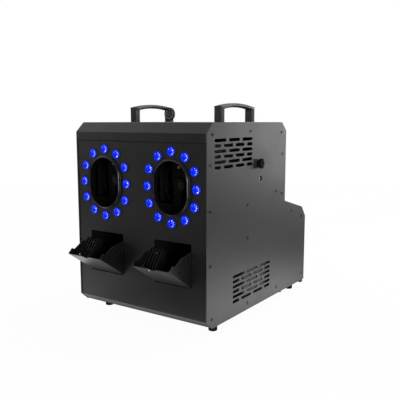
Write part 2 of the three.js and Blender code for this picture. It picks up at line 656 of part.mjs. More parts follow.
function addTanks() {
  const { half, y0, y1, z0, wall, under } = TANK;
  const bevelY = 22;
  const rearTop = STEP_REAR - 1;
  const profile = (inset) => {
    const top = (y) => STEP_TOP - (y - UPPER_DEPTH) * Math.tan(SLOPE) - under - inset;
    return [
      [y0 + inset, z0 + inset], [y1 - inset, z0 + inset], [y1 - inset, rearTop - inset],
      [y1 - bevelY, top(y1 - bevelY)], [y0 + inset, top(y0 + inset)],
    ];
  };
  for (const [name, x] of CAP_XS) {
    const shell = plateX(profile(0), x - half, x + half);
    const neck = onSlope(rodZ(0, 0, -under - 2, 8, TANK_NECK_R, 24), x);
    const hollow = plateX(profile(wall), x - half + wall, x + half - wall);
    const mouth = onSlope(rodZ(0, 0, -under - 6, 9, TANK_NECK_R - wall, 24), x);
    add(`${name}_fluid_tank`, 'tank_plastic', cut(join(shell, neck), hollow, mouth));
    const cap = cut(
      rodZ(0, 0, GAP, CAP.top, CAP.r, 24),
      rodZ(0, 0, 0, CAP.hollow, TANK_NECK_R + CAP.fit, 24),
    );
    add(`${name}_filler_cap`, 'black_plastic', onSlope(cap, x));
  }
}

function addRearPanel() {
  const outline = rectangle(-PANEL_X, PANEL_X, FLOOR_TOP, STEP_REAR - 2.5);
  const holes = [
    ...BUTTON_XS.map((x) => circle(x, BUTTON_Z, 5.3, 16)),
    rectangle(DISPLAY.x0 - 0.4, DISPLAY.x1 + 0.4, DISPLAY.z0 - 0.4, DISPLAY.z1 + 0.4),
    ...SOCKETS.map(([, x]) => circle(x, SOCKET_Z, 12, 20)),
    rectangle(INLET.x - INLET.half + 4, INLET.x + INLET.half - 4, INLET.z0 + 4, INLET.z1 - 4),
  ];
  add('rear_panel', 'black_steel', plateY(outline, REAR_FACE - 1.8, REAR_FACE, holes));
  add('display_window', 'display_glass', plateY(
    rectangle(DISPLAY.x0, DISPLAY.x1, DISPLAY.z0, DISPLAY.z1), REAR_FACE - 2.2, REAR_FACE + 0.8,
  ));
  BUTTON_XS.forEach((x, i) => {
    add(`menu_button_${i + 1}`, 'black_plastic', join(
      rodY(x, REAR_FACE - 6, REAR_FACE + 3, BUTTON_Z, 5, 16),
      rodY(x, REAR_FACE - 4.6, REAR_FACE - 2.1, BUTTON_Z, 6.6, 16),
    ));
  });
  for (const [name, x] of SOCKETS) add(`data_socket_${name}`, 'black_plastic', dataSocket(x));
  addInlet();
  add('control_board', 'circuit_board', join(
    block(30, 168, 466, 467.6, 90, 172),
    block(60, 120, 467, 476, 126, 150),
    block(36, 52, 452, 466.5, 100, 128),
    block(140, 158, 448, 466.5, 110, 134),
  ));
  const can = block(120, 176, 165, 300, 5, 98);
  add('power_supply', 'aluminium', join(can, block(120, 176, 155, 310, FLOOR_TOP, 6)));
}

function dataSocket(x) {
  const outline = rectangle(x - 14, x + 14, SOCKET_Z - 16, SOCKET_Z + 16);
  const plate = plateY(outline, REAR_FACE + GAP, REAR_FACE + 2.3);
  const body = rodY(x, REAR_FACE - 22, REAR_FACE + REAR_PROUD, SOCKET_Z, 11.4, 20);
  const mouth = rodY(x, REAR_FACE - 10, REAR_FACE + 5, SOCKET_Z, 8.6, 20);
  const pins = [90, 210, 330].map((angle) => {
    const t = THREE.MathUtils.degToRad(angle);
    return rodY(x + 4.5 * Math.cos(t), REAR_FACE - 11, REAR_FACE - 1, SOCKET_Z + 4.5 * Math.sin(t), 1.1, 6);
  });
  return join(cut(join(plate, body), mouth), ...pins);
}

// Mains inlet with its fuse drawer and the frame of the rocker switch, and the rocker itself
function addInlet() {
  const { x, half, z0, z1 } = INLET;
  const face = REAR_FACE + GAP;
  const flange = plateY(rectangle(x - half, x + half, z0, z1), face, face + 2.4);
  const body = block(x - half + 4.4, x + half - 4.4, 452, face + 1, z0 + 4.4, z1 - 4.4);
  const socket = block(x - 12.5, x + 12.5, 468, face + 5, z0 + 9, z0 + 27);
  const well = block(x - 12.5, x + 12.5, 470, face + 5, ROCKER_Z - 9.4, ROCKER_Z + 9.4);
  const pins = [-7, 0, 7].map((dx) => block(x + dx - 1, x + dx + 1, 467, 482, z0 + 15, z0 + 21));
  add('mains_inlet', 'black_plastic', join(cut(join(flange, body), socket, well), ...pins));
  const rockerHalf = 7.6;
  const rocker = plateX(
    [[-6, -rockerHalf + 2], [4, -rockerHalf], [2.6, 0], [4, rockerHalf], [-6, rockerHalf - 2]],
    x - 12, x + 12,
  );
  add('power_switch', 'black_plastic', rocker.rotateX(ROCKER_REST).translate(0, ROCKER_Y, ROCKER_Z));
}

addSidePanels();
addCovers();
addFrontPanel();
addOutlets();
addFlaps();
addHandles();
addKnobs();
addFeet();
addBubbleDrive();
addFogGenerator();
addTanks();
addRearPanel();

export default machine;
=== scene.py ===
"""Looks of the fog and bubble machine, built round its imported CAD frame.

Pieces are drawn in cabinet millimetres: x is 0 on the centre line, y is the depth behind the front edge of the
side panels, and z is the height above the bottom of the cabinet. TO_ROW turns them into the frame's metres.
"""

import json
import math
from random import Random

import bmesh
import bpy
from mathutils import Matrix, Vector


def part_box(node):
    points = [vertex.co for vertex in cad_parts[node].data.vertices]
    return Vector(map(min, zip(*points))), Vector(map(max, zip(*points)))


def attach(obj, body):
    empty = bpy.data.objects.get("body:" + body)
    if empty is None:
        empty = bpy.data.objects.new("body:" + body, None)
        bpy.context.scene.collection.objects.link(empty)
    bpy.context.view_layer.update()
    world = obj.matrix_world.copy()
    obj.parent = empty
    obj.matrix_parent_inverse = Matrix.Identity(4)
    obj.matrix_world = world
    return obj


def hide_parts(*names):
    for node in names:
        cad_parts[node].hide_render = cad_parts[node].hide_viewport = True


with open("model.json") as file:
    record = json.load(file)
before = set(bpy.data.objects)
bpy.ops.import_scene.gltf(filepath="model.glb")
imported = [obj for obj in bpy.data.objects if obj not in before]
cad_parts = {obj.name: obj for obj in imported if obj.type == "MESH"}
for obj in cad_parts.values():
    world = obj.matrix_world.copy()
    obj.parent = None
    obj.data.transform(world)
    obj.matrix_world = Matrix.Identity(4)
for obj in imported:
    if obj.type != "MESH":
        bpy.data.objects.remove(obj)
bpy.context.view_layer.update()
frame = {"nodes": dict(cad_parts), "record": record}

MM = 0.001
SIDE_LOW, SIDE_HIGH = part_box("side_panel_right")
TO_ROW = Matrix.Translation((0, SIDE_LOW.y, SIDE_LOW.z)) @ Matrix.Scale(MM, 4)


def cabinet_box(node):
    """A CAD node's lowest and highest corners in cabinet millimetres."""
    back = TO_ROW.inverted()
    low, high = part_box(node)
    return back @ low, back @ high


# Sizes of the cabinet, in millimetres
HALF_WIDTH = SIDE_HIGH.x / MM
HEIGHT = (SIDE_HIGH.z - SIDE_LOW.z) / MM
FULL_DEPTH = (SIDE_HIGH.y - SIDE_LOW.y) / MM
FOOT_HEIGHT = SIDE_LOW.z / MM
SIDE_SHEET = HALF_WIDTH - SIDE_LOW.x / MM
COVER_SHEET = 1.5
FRONT_SHEET = 2.0
PANEL_X = HALF_WIDTH - SIDE_SHEET - 0.3
PANEL_FACE = 1.8
UPPER_DEPTH = 358.0
TOP_CHAMFER = (24.0, 22.0)
REAR_CHAMFER = (23.5, 20.5)
BOTTOM_CHAMFER = (21.5, 18.8)
LIP_BOTTOM = HEIGHT - 40
STEP_TOP = 235.0
STEP_EDGE = (463.0, 207.0)
STEP_REAR = 179.0
BEND_RADIUS = 2.2

OUTLET_X, OUTLET_Z, RIM_STRAIGHT, LED_STRAIGHT = 95.2, 296.7, 13.5, 11.8
RIM_R, CLEAR_R = 48.2, 42.5
WHEEL_Z = OUTLET_Z + 3
LED_COUNT, LED_PATH_R, LENS_R, LENS_HOLE_R = 12, 64.6, 10.1, 11.0
FOG_X, FOG_HALF, FOG_BOTTOM, FOG_TOP = 95.2, 50.5, 84.7, 180.7
FLAP_HALF, FLAP_LENGTH, FLAP_SHEET, FLAP_OPEN = 49.6, 92.0, 1.5, math.radians(56)
PIN_Y, PIN_Z, KNUCKLE_R = 4.8, 88.1, 3.0
HANDLE_X, HANDLE_Y, HANDLE_HALF, HANDLE_WIDTH = 124.0, 210.6, 76.0, 20.0
DISC_X, DISC_Y, DISC_Z, DISC_R = -112.0, 264.0, 454.0, 16.6
KNOB_Y, KNOB_Z, KNOB_R = 217.0, 338.6, 12.0
INDEX_HOLE = (227.5, 302.7, 5.75)
REAR_FACE = 483.8
CAP_Y = 410.0
CAP_XS = {"fog": -132.0, "bubble": -46.0}
SIDES = (("left", -1), ("right", 1))


# ---------------------------------------------------------------- materials

class Graph:
    """A material's node tree, with short calls for adding and linking nodes."""

    def __init__(self, tree):
        self.tree = tree
        tree.nodes.clear()

    def add(self, kind, inputs=None, **settings):
        node = self.tree.nodes.new(kind)
        for key, value in settings.items():
            setattr(node, key, value)
        for key, value in (inputs or {}).items():
            if isinstance(value, bpy.types.NodeSocket):
                self.tree.links.new(value, node.inputs[key])
            else:
                node.inputs[key].default_value = value
        return node

    def math(self, operation, *values, clamp=False):
        node = self.add("ShaderNodeMath", dict(enumerate(values)), operation=operation, use_clamp=clamp)
        return node.outputs[0]

    def mix(self, factor, a, b):
        node = self.add("ShaderNodeMix", {0: factor, 6: a, 7: b}, data_type="RGBA")
        return node.outputs[2]

    def spread(self, value, low, high, new_low, new_high):
        node = self.add("ShaderNodeMapRange", {0: value, 1: low, 2: high, 3: new_low, 4: new_high})
        return node.outputs[0]

    def noise(self, coords, scale, detail=3.0, roughness=0.55):
        inputs = {"Vector": coords, "Scale": scale, "Detail": detail, "Roughness": roughness}
        return self.add("ShaderNodeTexNoise", inputs).outputs["Fac"]

    def stretched(self, coords, scale):
        return self.add("ShaderNodeMapping", {"Vector": coords, "Scale": scale}).outputs[0]


def new_graph(name):
    material = bpy.data.materials.new(name)
    material.use_nodes = True
    return material, Graph(material.node_tree)


def grey(value):
    return (value, value, value, 1)


def finish_material(name, colour, roughness, metallic=0.0, specular=0.5, grain=1100.0, depth=0.03, stretch=(1, 1, 1),
                    mottle=0.15, edge_wear_and_highlight=None, edge_radius=0.7, coat=0.0, through=0.0):
    """A finish with fine grain in its bump, slow changes of colour and roughness, and edges lightened towards a colour,
    partly as rubbed wear and partly as a painted highlight along the edges.
    """
    material, g = new_graph(name)
    coords = g.add("ShaderNodeTexCoord").outputs["Object"]
    fine = g.noise(g.stretched(coords, stretch), grain, 4.0, 0.6)
    broad = g.noise(coords, 14.0, 5.0, 0.6)
    dark = tuple(c * (1 - mottle) for c in colour) + (1,)
    light = tuple(min(c * (1 + mottle), 1) for c in colour) + (1,)
    base = g.mix(g.spread(g.math("ADD", broad, g.math("MULTIPLY", fine, 0.35)), 0.45, 0.9, 0, 1), dark, light)
    bevel = g.add("ShaderNodeBevel", {"Radius": edge_radius * MM}, samples=4).outputs[0]
    rough = g.spread(g.math("ADD", broad, g.math("MULTIPLY", fine, 0.5)), 0.4, 1.1, roughness - 0.07, roughness + 0.07)
    # Edge colour: partly rubbed wear, partly a painted highlight along the rounded edges.
    if edge_wear_and_highlight is not None:
        facing = g.add("ShaderNodeNewGeometry").outputs["Normal"]
        dot = g.add("ShaderNodeVectorMath", {0: bevel, 1: facing}, operation="DOT_PRODUCT").outputs["Value"]
        wear_and_highlight_mask = g.spread(dot, 0.995, 0.86, 0, 1)
        patchy = g.spread(g.noise(coords, 260.0, 4.0), 0.38, 0.62, 0.25, 1.0)
        wear_and_highlight_mask = g.math("MULTIPLY", wear_and_highlight_mask, patchy, clamp=True)
        base = g.mix(wear_and_highlight_mask, base, tuple(edge_wear_and_highlight) + (1,))
        rough = g.math("SUBTRACT", rough, g.math("MULTIPLY", wear_and_highlight_mask, 0.08))
    bump = g.add("ShaderNodeBump", {"Strength": 1.0, "Distance": depth * MM, "Height": fine, "Normal": bevel})
    shader = g.add("ShaderNodeBsdfPrincipled", {
        "Base Color": base, "Roughness": rough, "Metallic": metallic, "Specular IOR Level": specular,
        "Coat Weight": coat, "Coat Roughness": 0.25, "Transmission Weight": through, "Normal": bump.outputs[0],
    })
    g.add("ShaderNodeOutputMaterial", {"Surface": shader.outputs[0]})
    return material


def lens_material():
    """Blue light-guide lens. The UV map runs from -1 to 1 across each lens, so the dark facets and the painted
    highlights, glowing white spots mostly on each lens's right side, sit in place.
    """
    material, g = new_graph("led_lens_finish")
    uv = g.add("ShaderNodeUVMap", uv_map="lens").outputs[0]
    coords = g.add("ShaderNodeTexCoord").outputs["Object"]
    cells = g.add("ShaderNodeTexVoronoi", {"Vector": coords, "Scale": 215.0, "Randomness": 0.9}).outputs["Distance"]
    facets = g.spread(cells, 0.2, 0.42, 1.0, 0.0)
    pits = g.add("ShaderNodeTexVoronoi", {"Vector": coords, "Scale": 330.0, "Randomness": 1.0}).outputs["Distance"]
    pits = g.spread(pits, 0.12, 0.32, 0.75, 0.0)

    def blob(x, z, wide, tall):
        moved = g.add("ShaderNodeVectorMath", {0: uv, 1: (x, z, 0)}, operation="SUBTRACT").outputs[0]
        scaled = g.add("ShaderNodeVectorMath", {0: moved, 1: (1 / wide, 1 / tall, 1)}, operation="MULTIPLY").outputs[0]
        length = g.add("ShaderNodeVectorMath", {0: scaled}, operation="LENGTH").outputs["Value"]
        return g.spread(length, 0.45, 1.0, 1.0, 0.0)

    def blobs(places):
        total = 0.0
        for x, z, r, strength in places:
            total = g.math("ADD", total, g.math("MULTIPLY", blob(x, z, r, r), strength), clamp=True)
        return total

    # Painted highlights: glowing near-white spots, set mostly on the right side of each lens.
    painted_highlights = blobs([(0.26, 0.62, 0.15, 0.7), (0.6, 0.3, 0.17, 1.0), (0.24, 0.14, 0.1, 0.35), (0.7, -0.1, 0.15, 0.8),
                    (0.46, -0.5, 0.18, 1.0), (-0.42, 0.42, 0.12, 0.4), (0.12, -0.74, 0.1, 0.4)])
    pools = blobs([(0.06, 0.34, 0.22, 0.8), (-0.28, -0.32, 0.22, 0.7), (0.2, -0.2, 0.24, 0.9), (-0.12, 0.68, 0.18, 0.6),
                   (0.44, 0.0, 0.16, 0.7), (-0.58, 0.02, 0.2, 0.5)])
    painted_highlights = g.math("MULTIPLY", painted_highlights, g.spread(facets, 0, 1, 0.3, 1.1), clamp=True)
    rim = g.spread(g.add("ShaderNodeVectorMath", {0: uv}, operation="LENGTH").outputs["Value"], 0.88, 1.0, 0, 0.55)
    shade = g.math("ADD", g.math("MAXIMUM", pools, g.math("MULTIPLY", pits, 0.5)), rim, clamp=True)
    tone = g.mix(shade, (0.0, 0.026, 0.95, 1), (0.0, 0.006, 0.5, 1))
    tone = g.mix(painted_highlights, tone, (1.9, 2.0, 2.0, 1))
    shader = g.add("ShaderNodeBsdfPrincipled", {
        "Base Color": (0.0, 0.0, 0.004, 1), "Roughness": 0.25, "Specular IOR Level": 0.05,
        "Emission Color": tone, "Emission Strength": 0.98,
    })
    g.add("ShaderNodeOutputMaterial", {"Surface": shader.outputs[0]})
    return material


def board_material():
    """Green solder mask with paler copper tracks and bright pads."""
    material, g = new_graph("circuit_board_finish")
    coords = g.add("ShaderNodeTexCoord").outputs["Object"]
    tracks = g.add("ShaderNodeTexBrick", {"Vector": g.stretched(coords, (300, 300, 300)), "Mortar Size": 0.06,
                                          "Scale": 1.0, "Color1": grey(0), "Color2": grey(0), "Mortar": grey(1)})
    pads = g.add("ShaderNodeTexVoronoi", {"Vector": coords, "Scale": 180.0}).outputs["Distance"]
    green = g.mix(g.noise(coords, 60.0), (0.006, 0.05, 0.02, 1), (0.012, 0.09, 0.035, 1))
    green = g.mix(g.math("MULTIPLY", tracks.outputs["Fac"], 0.6), green, (0.03, 0.17, 0.06, 1))
    pad = g.spread(pads, 0.10, 0.13, 1, 0)
    shader = g.add("ShaderNodeBsdfPrincipled", {
        "Base Color": g.mix(pad, green, (0.6, 0.6, 0.58, 1)), "Roughness": 0.35, "Metallic": pad,
        "Normal": g.add("ShaderNodeBump", {"Distance": 0.0001, "Height": tracks.outputs["Fac"]}).outputs[0],
    })
    g.add("ShaderNodeOutputMaterial", {"Surface": shader.outputs[0]})
    return material


BLACK = (0.012, 0.012, 0.0125)
# Each finish's edge colour below is lighter than its base: partly rubbed wear, partly a painted highlight along the
# edges.
FINISHES = {
    "cabinet_paint": finish_material("cabinet_paint_finish", (0.015, 0.015, 0.0153), 0.46, specular=0.42, grain=950.0,
                                     depth=0.035, edge_wear_and_highlight=(0.2, 0.2, 0.204), edge_radius=1.2),
    "inner_sheet": finish_material("inner_sheet_finish", (0.009, 0.009, 0.009), 0.55, specular=0.2, edge_wear_and_highlight=(0.014, 0.014, 0.014)),
    "moulded_plastic": finish_material("moulded_plastic_finish", BLACK, 0.42, grain=1700.0, depth=0.02,
                                       edge_wear_and_highlight=(0.03, 0.03, 0.03)),
    "handle_plastic": finish_material("handle_plastic_finish", (0.04, 0.04, 0.041), 0.34, grain=1500.0, depth=0.03,
                                      edge_wear_and_highlight=(0.06, 0.06, 0.06), edge_radius=1.0),
    "led_lens": lens_material(),
    "circuit_board": board_material(),
    "steel_parts": finish_material("steel_parts_finish", (0.5, 0.5, 0.49), 0.3, metallic=0.95, stretch=(8, 1, 1),
                                   grain=700.0, edge_wear_and_highlight=(0.75, 0.75, 0.74)),
    "cast_aluminium": finish_material("cast_aluminium_finish", (0.5, 0.51, 0.52), 0.42, metallic=0.85, grain=800.0,
                                      depth=0.08, edge_wear_and_highlight=(0.75, 0.75, 0.75)),
    "brass_pipe": finish_material("brass_pipe_finish", (0.55, 0.37, 0.12), 0.3, metallic=0.95, mottle=0.3,
                                  edge_wear_and_highlight=(0.8, 0.6, 0.25)),
    "tank_plastic": finish_material("tank_plastic_finish", (0.62, 0.64, 0.61), 0.38, mottle=0.05, through=0.25,
                                    depth=0.05, edge_wear_and_highlight=(0.7, 0.7, 0.68)),
    "wheel_plastic": finish_material("wheel_plastic_finish", BLACK, 0.25, coat=0.3, edge_wear_and_highlight=(0.04, 0.04, 0.045)),
    "display_window": finish_material("display_window_finish", (0.006, 0.009, 0.011), 0.08, depth=0.002, coat=0.6,
                                      mottle=0.3, edge_wear_and_highlight=(0.03, 0.03, 0.03)),
    "foot_rubber": finish_material("foot_rubber_finish", (0.008, 0.008, 0.008), 0.72, specular=0.3, depth=0.06,
                                   mottle=0.35, edge_wear_and_highlight=(0.02, 0.02, 0.02)),
}
# The edge colours below too are partly rubbed wear, partly a painted highlight along the edges.
BLACK_SCREW = finish_material("black_screw_finish", (0.008, 0.008, 0.008), 0.4, metallic=0.3, grain=1500.0,
                              edge_wear_and_highlight=(0.07, 0.07, 0.07), edge_radius=0.3)
ZINC_SCREW = finish_material("zinc_screw_finish", (0.78, 0.78, 0.76), 0.32, metallic=0.55, grain=1500.0,
                             edge_wear_and_highlight=(0.85, 0.85, 0.85), edge_radius=0.3)
RIM_PLASTIC = finish_material("rim_plastic_finish", (0.012, 0.012, 0.0125), 0.3, specular=0.75, grain=1500.0, depth=0.015)
COLLAR = finish_material("lens_collar_finish", (0.05, 0.048, 0.042), 0.35, grain=1500.0, depth=0.015)
FLAP_PAINT = finish_material("flap_paint_finish", (0.01, 0.01, 0.0102), 0.4, specular=0.25, grain=950.0, depth=0.03,
                             edge_wear_and_highlight=(0.12, 0.12, 0.124), edge_radius=0.9)
KNOB_PLASTIC = finish_material("knob_plastic_finish", (0.006, 0.006, 0.006), 0.8, specular=0.05, grain=1500.0)
# The trim ring's pale grey is partly its own colour, partly a painted highlight on the ring.
DISC_RING_GREY_AND_HIGHLIGHT = finish_material("disc_ring_grey_and_highlight_finish", (0.34, 0.34, 0.342), 0.35, grain=1500.0, edge_wear_and_highlight=(0.45, 0.45, 0.45))
VANE_STEEL = finish_material("vane_steel_finish", (0.01, 0.01, 0.01), 0.5, specular=0.3, edge_wear_and_highlight=(0.16, 0.16, 0.16))
DARK_TIN = finish_material("dark_tin_finish", (0.07, 0.07, 0.072), 0.5, metallic=0.5, edge_wear_and_highlight=(0.14, 0.14, 0.14))


# ---------------------------------------------------------------- outlines

def arc(a, b, r, start, end, steps):
    turns = [math.radians(start + (end - start) * i / steps) for i in range(steps + 1)]
    return [(a + r * math.cos(t), b + r * math.sin(t)) for t in turns]


def circle(a, b, r, steps=32):
    return arc(a, b, r, 0, 360, steps)[:-1]


def rectangle(a0, a1, b0, b1, r=0.0, steps=4):
    if not r:
        return [(a0, b0), (a1, b0), (a1, b1), (a0, b1)]
    return (arc(a1 - r, b0 + r, r, -90, 0, steps) + arc(a1 - r, b1 - r, r, 0, 90, steps)
            + arc(a0 + r, b1 - r, r, 90, 180, steps) + arc(a0 + r, b0 + r, r, 180, 270, steps))


def tall_slot(a, b, r, half, steps=24):
    return arc(a, b + half, r, 0, 180, steps) + arc(a, b - half, r, 180, 360, steps)


def long_slot(a0, a1, b, r, steps=8):
    return arc(a1 - r, b, r, -90, 90, steps) + arc(a0 + r, b, r, 90, 270, steps)


def vent_slots(y0, y1, top_row, pitch, r, gap):
    """Six rows in a brick pattern: three equal slots, then four with short end slots."""
    third = (y1 - y0 - 2 * gap) / 3
    end = third * 0.545
    middle = (y1 - y0 - 3 * gap - 2 * end) / 2
    slots = []
    for row in range(6):
        start = y0
        for length in ([end, middle, middle, end] if row % 2 else [third] * 3):
            slots.append(long_slot(start, start + length, top_row - row * pitch, r))
            start += length + gap
    return slots


def led_places():
    """Points spaced evenly along the slot-shaped LED path, from its top."""
    quarter = math.pi / 2 * LED_PATH_R
    perimeter = 4 * (quarter + LED_STRAIGHT)
    places = []
    for i in range(LED_COUNT):
        along = i * perimeter / LED_COUNT
        folded = min(along, perimeter - along)
        from_end = min(folded, perimeter / 2 - folded)
        turn = min(from_end, quarter) / LED_PATH_R
        x = LED_PATH_R * math.sin(turn) * (1 if along < perimeter / 2 else -1)
        z = LED_PATH_R * math.cos(turn) + LED_STRAIGHT - max(from_end - quarter, 0)
        places.append((x, -z if folded > perimeter / 4 + 1e-6 else z))
    return places


# ---------------------------------------------------------------- solids

def plate(outline, holes=(), thickness=2.0, rounding=0.4, steps=1):
    """A flat plate in the XY plane, centred on z = 0, with holes and rounded edges all round."""
    curve = bpy.data.curves.new("outline", "CURVE")
    curve.dimensions, curve.fill_mode = "2D", "BOTH"
    curve.extrude = thickness / 2 - rounding
    curve.bevel_depth, curve.bevel_resolution, curve.offset = rounding, steps, -rounding
    for loop in [outline, *holes]:
        spline = curve.splines.new("POLY")
        spline.points.add(len(loop) - 1)
        for point, (a, b) in zip(spline.points, loop):
            point.co = (a, b, 0, 1)
        spline.use_cyclic_u = True
    holder = bpy.data.objects.new("outline", curve)
    mesh = bpy.data.meshes.new_from_object(holder)
    bm = bmesh.new()
    bm.from_mesh(mesh)
    bmesh.ops.remove_doubles(bm, verts=bm.verts, dist=1e-4)
    bpy.data.meshes.remove(mesh)
    bpy.data.objects.remove(holder)
    bpy.data.curves.remove(curve)
    return bm


def loft(loops, closed=False):
    """A skin over loops of the same length. It's capped at both ends, or closed into a ring."""
    bm = bmesh.new()
    rows = [[bm.verts.new(p) for p in loop] for loop in loops]
    pairs = list(zip(rows, rows[1:])) + ([(rows[-1], rows[0])] if closed else [])
    for a, b in pairs:
        for i in range(len(a)):
            j = (i + 1) % len(a)
            bm.faces.new((a[i], a[j], b[j], b[i]))
    if not closed:
        bm.faces.new(rows[0])
        bm.faces.new(rows[-1])
    return bm


def lathe(profile, steps=32, bottom=True):
    """A solid of revolution about Z from (radius, height) pairs, capped flat at both ends."""
    return loft([[(r * math.cos(t), r * math.sin(t), h) for t in
                  (2 * math.pi * i / steps for i in range(steps))] for r, h in profile])


def moved(bm, matrix):
    bmesh.ops.transform(bm, matrix=matrix, verts=bm.verts)
    return bm


def joined(parts):
    """One bmesh out of several. The parts are used up."""
    whole = bmesh.new()
    for part in parts:
        mesh = bpy.data.meshes.new("part")
        part.to_mesh(mesh)
        part.free()
        whole.from_mesh(mesh)
        bpy.data.meshes.remove(mesh)
    return whole


def copies(bm, matrices):
    """A bmesh repeated at each matrix. The original is used up."""
    mesh = bpy.data.meshes.new("part")
    bm.to_mesh(mesh)
    bm.free()
    whole = bmesh.new()
    for matrix in matrices:
        copy = mesh.copy()
        copy.transform(matrix)
        whole.from_mesh(copy)
        bpy.data.meshes.remove(copy)
    bpy.data.meshes.remove(mesh)
    return whole


# Turns of a piece drawn with its face up, towards +Z
FACE_RIGHT = Matrix.Rotation(math.radians(90), 4, "Y")
FACE_LEFT = Matrix.Rotation(math.radians(-90), 4, "Y")
FACE_FRONT = Matrix.Rotation(math.radians(90), 4, "X")
FACE_REAR = Matrix.Rotation(math.radians(-90), 4, "X")
FACE_DOWN = Matrix.Rotation(math.radians(180), 4, "X")

# A plate's (a, b, thickness) as (y, z, x), as (x, z, -y)
UPRIGHT_X = Matrix(((0, 0, 1, 0), (1, 0, 0, 0), (0, 1, 0, 0), (0, 0, 0, 1)))
UPRIGHT_Y = Matrix(((1, 0, 0, 0), (0, 0, -1, 0), (0, 1, 0, 0), (0, 0, 0, 1)))


def place(x, y, z, turn=Matrix.Identity(4)):
    return Matrix.Translation((x, y, z)) @ turn


def facing_side(side):
    return FACE_RIGHT if side > 0 else FACE_LEFT


def fold_stations(corners, thickness, radius=BEND_RADIUS, steps=6):
    """A path of outer corners with rounded bends, as (distance along, point, inward direction). Inward is left."""
    points = [Vector(c) for c in corners]
    runs = [(b - a).normalized() for a, b in zip(points, points[1:])]
    left = [Vector((-d.y, d.x)) for d in runs]
    stations = [(0.0, points[0], left[0])]
    for i in range(1, len(points) - 1):
        turn = runs[i - 1].angle_signed(runs[i]) * -1
        r = radius if turn > 0 else max(radius - thickness, 0.3)
        reach = r * math.tan(abs(turn) / 2)
        start = points[i] - runs[i - 1] * reach
        centre = start + left[i - 1] * (r if turn > 0 else -r)
        for k in range(steps + 1):
            spin = Matrix.Rotation(turn * k / steps, 2)
            inward = spin @ left[i - 1]
            point = centre - inward * (r if turn > 0 else -r)
            along = stations[-1][0] + (point - stations[-1][1]).length
            stations.append((along, point, inward))
    stations.append((stations[-1][0] + (points[-1] - stations[-1][1]).length, points[-1], left[-1]))
    return stations


def folded(bm, stations, thickness):
    """Bends a flat plate along its second axis. The result is (first axis, path's first axis, path's second axis)."""
    for along, _, _ in stations[1:-1]:
        bmesh.ops.bisect_plane(bm, geom=bm.verts[:] + bm.edges[:] + bm.faces[:], dist=1e-5,
                               plane_co=(0, along, 0), plane_no=(0, 1, 0))
    for v in bm.verts:
        a, b, c = v.co
        i = 0
        while i < len(stations) - 2 and b > stations[i + 1][0]:
            i += 1
        (s0, p0, n0), (s1, p1, n1) = stations[i], stations[i + 1]
        t = (b - s0) / (s1 - s0)
        point = p0.lerp(p1, t) + n0.lerp(n1, t) * (c + thickness / 2)
        v.co = (a, point.x, point.y)
    return bm


def piece(name, bm, body, slot, material=None, replaces=(), sharp=38):
    bmesh.ops.recalc_face_normals(bm, faces=bm.faces)
    bmesh.ops.transform(bm, matrix=TO_ROW, verts=bm.verts)
    mesh = bpy.data.meshes.new(name)
    bm.to_mesh(mesh)
    bm.free()
    mesh.shade_smooth()
    mesh.set_sharp_from_angle(angle=math.radians(sharp))
    mesh.materials.append(material or FINISHES[slot])
    obj = bpy.data.objects.new(name, mesh)
    bpy.context.scene.collection.objects.link(obj)
    weighted = obj.modifiers.new("weighted_normals", "WEIGHTED_NORMAL")
    weighted.keep_sharp = True
    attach(obj, body)
    if replaces:
        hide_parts(*replaces)
    return obj


def screw(r, height=1.3):
    """A pan head with a cross recess, its seat on z = 0."""
    arm, half = r * 0.5, r * 0.14
    cross = [(half, -arm), (half, -half), (arm, -half), (arm, half), (half, half), (half, arm),
             (-half, arm), (-half, half), (-arm, half), (-arm, -half), (-half, -half), (-half, -arm)]
    head = moved(plate(circle(0, 0, r, 20), [cross], height, height * 0.3, 2), place(0, 0, height / 2))
    return joined([head, lathe([(r * 0.8, 0.02), (r * 0.8, height * 0.35)], 20)])


# ---------------------------------------------------------------- cabinet

def build_side_panels():
    outline = [
        (0, BOTTOM_CHAMFER[1]), (BOTTOM_CHAMFER[0], 0), (FULL_DEPTH, 0), (FULL_DEPTH, STEP_REAR), STEP_EDGE,
        (UPPER_DEPTH, STEP_TOP), (UPPER_DEPTH, HEIGHT - REAR_CHAMFER[1]), (UPPER_DEPTH - REAR_CHAMFER[0], HEIGHT),
        (TOP_CHAMFER[0], HEIGHT), (0, HEIGHT - TOP_CHAMFER[1]),
    ]
    holes = vent_slots(29, 186, 396.4, 11.3, 3.4, 11) + vent_slots(105.5, 281, 92.5, 11.5, 3.4, 9)
    holes += [circle(*INDEX_HOLE), circle(KNOB_Y, KNOB_Z, 4.2)]
    screws = [(23.5, 409), (178, 413.5), (333, 408.5), (339, 355), (15, 346.5), (307, 264.5), (340, 256), (15, 251.5),
              (169, 247), (398, 204.5), (461, 181), (170, 170), (15.5, 136), (471, 20), (319.5, 17.5), (173, 15.5),
              (21.5, 20)]
    for name, side in SIDES:
        panel = moved(plate(outline, holes, SIDE_SHEET, 0.45, 2), place(side * (HALF_WIDTH - SIDE_SHEET / 2), 0, 0, UPRIGHT_X))
        piece(f"side_sheet_{name}", panel, "root", "cabinet_paint", replaces=[f"side_panel_{name}"])
        heads = copies(screw(3.4, 1.1), [place(side * HALF_WIDTH, y, z, facing_side(side)) for y, z in screws])
        piece(f"side_screws_{name}", heads, "root", "steel_parts", BLACK_SCREW)


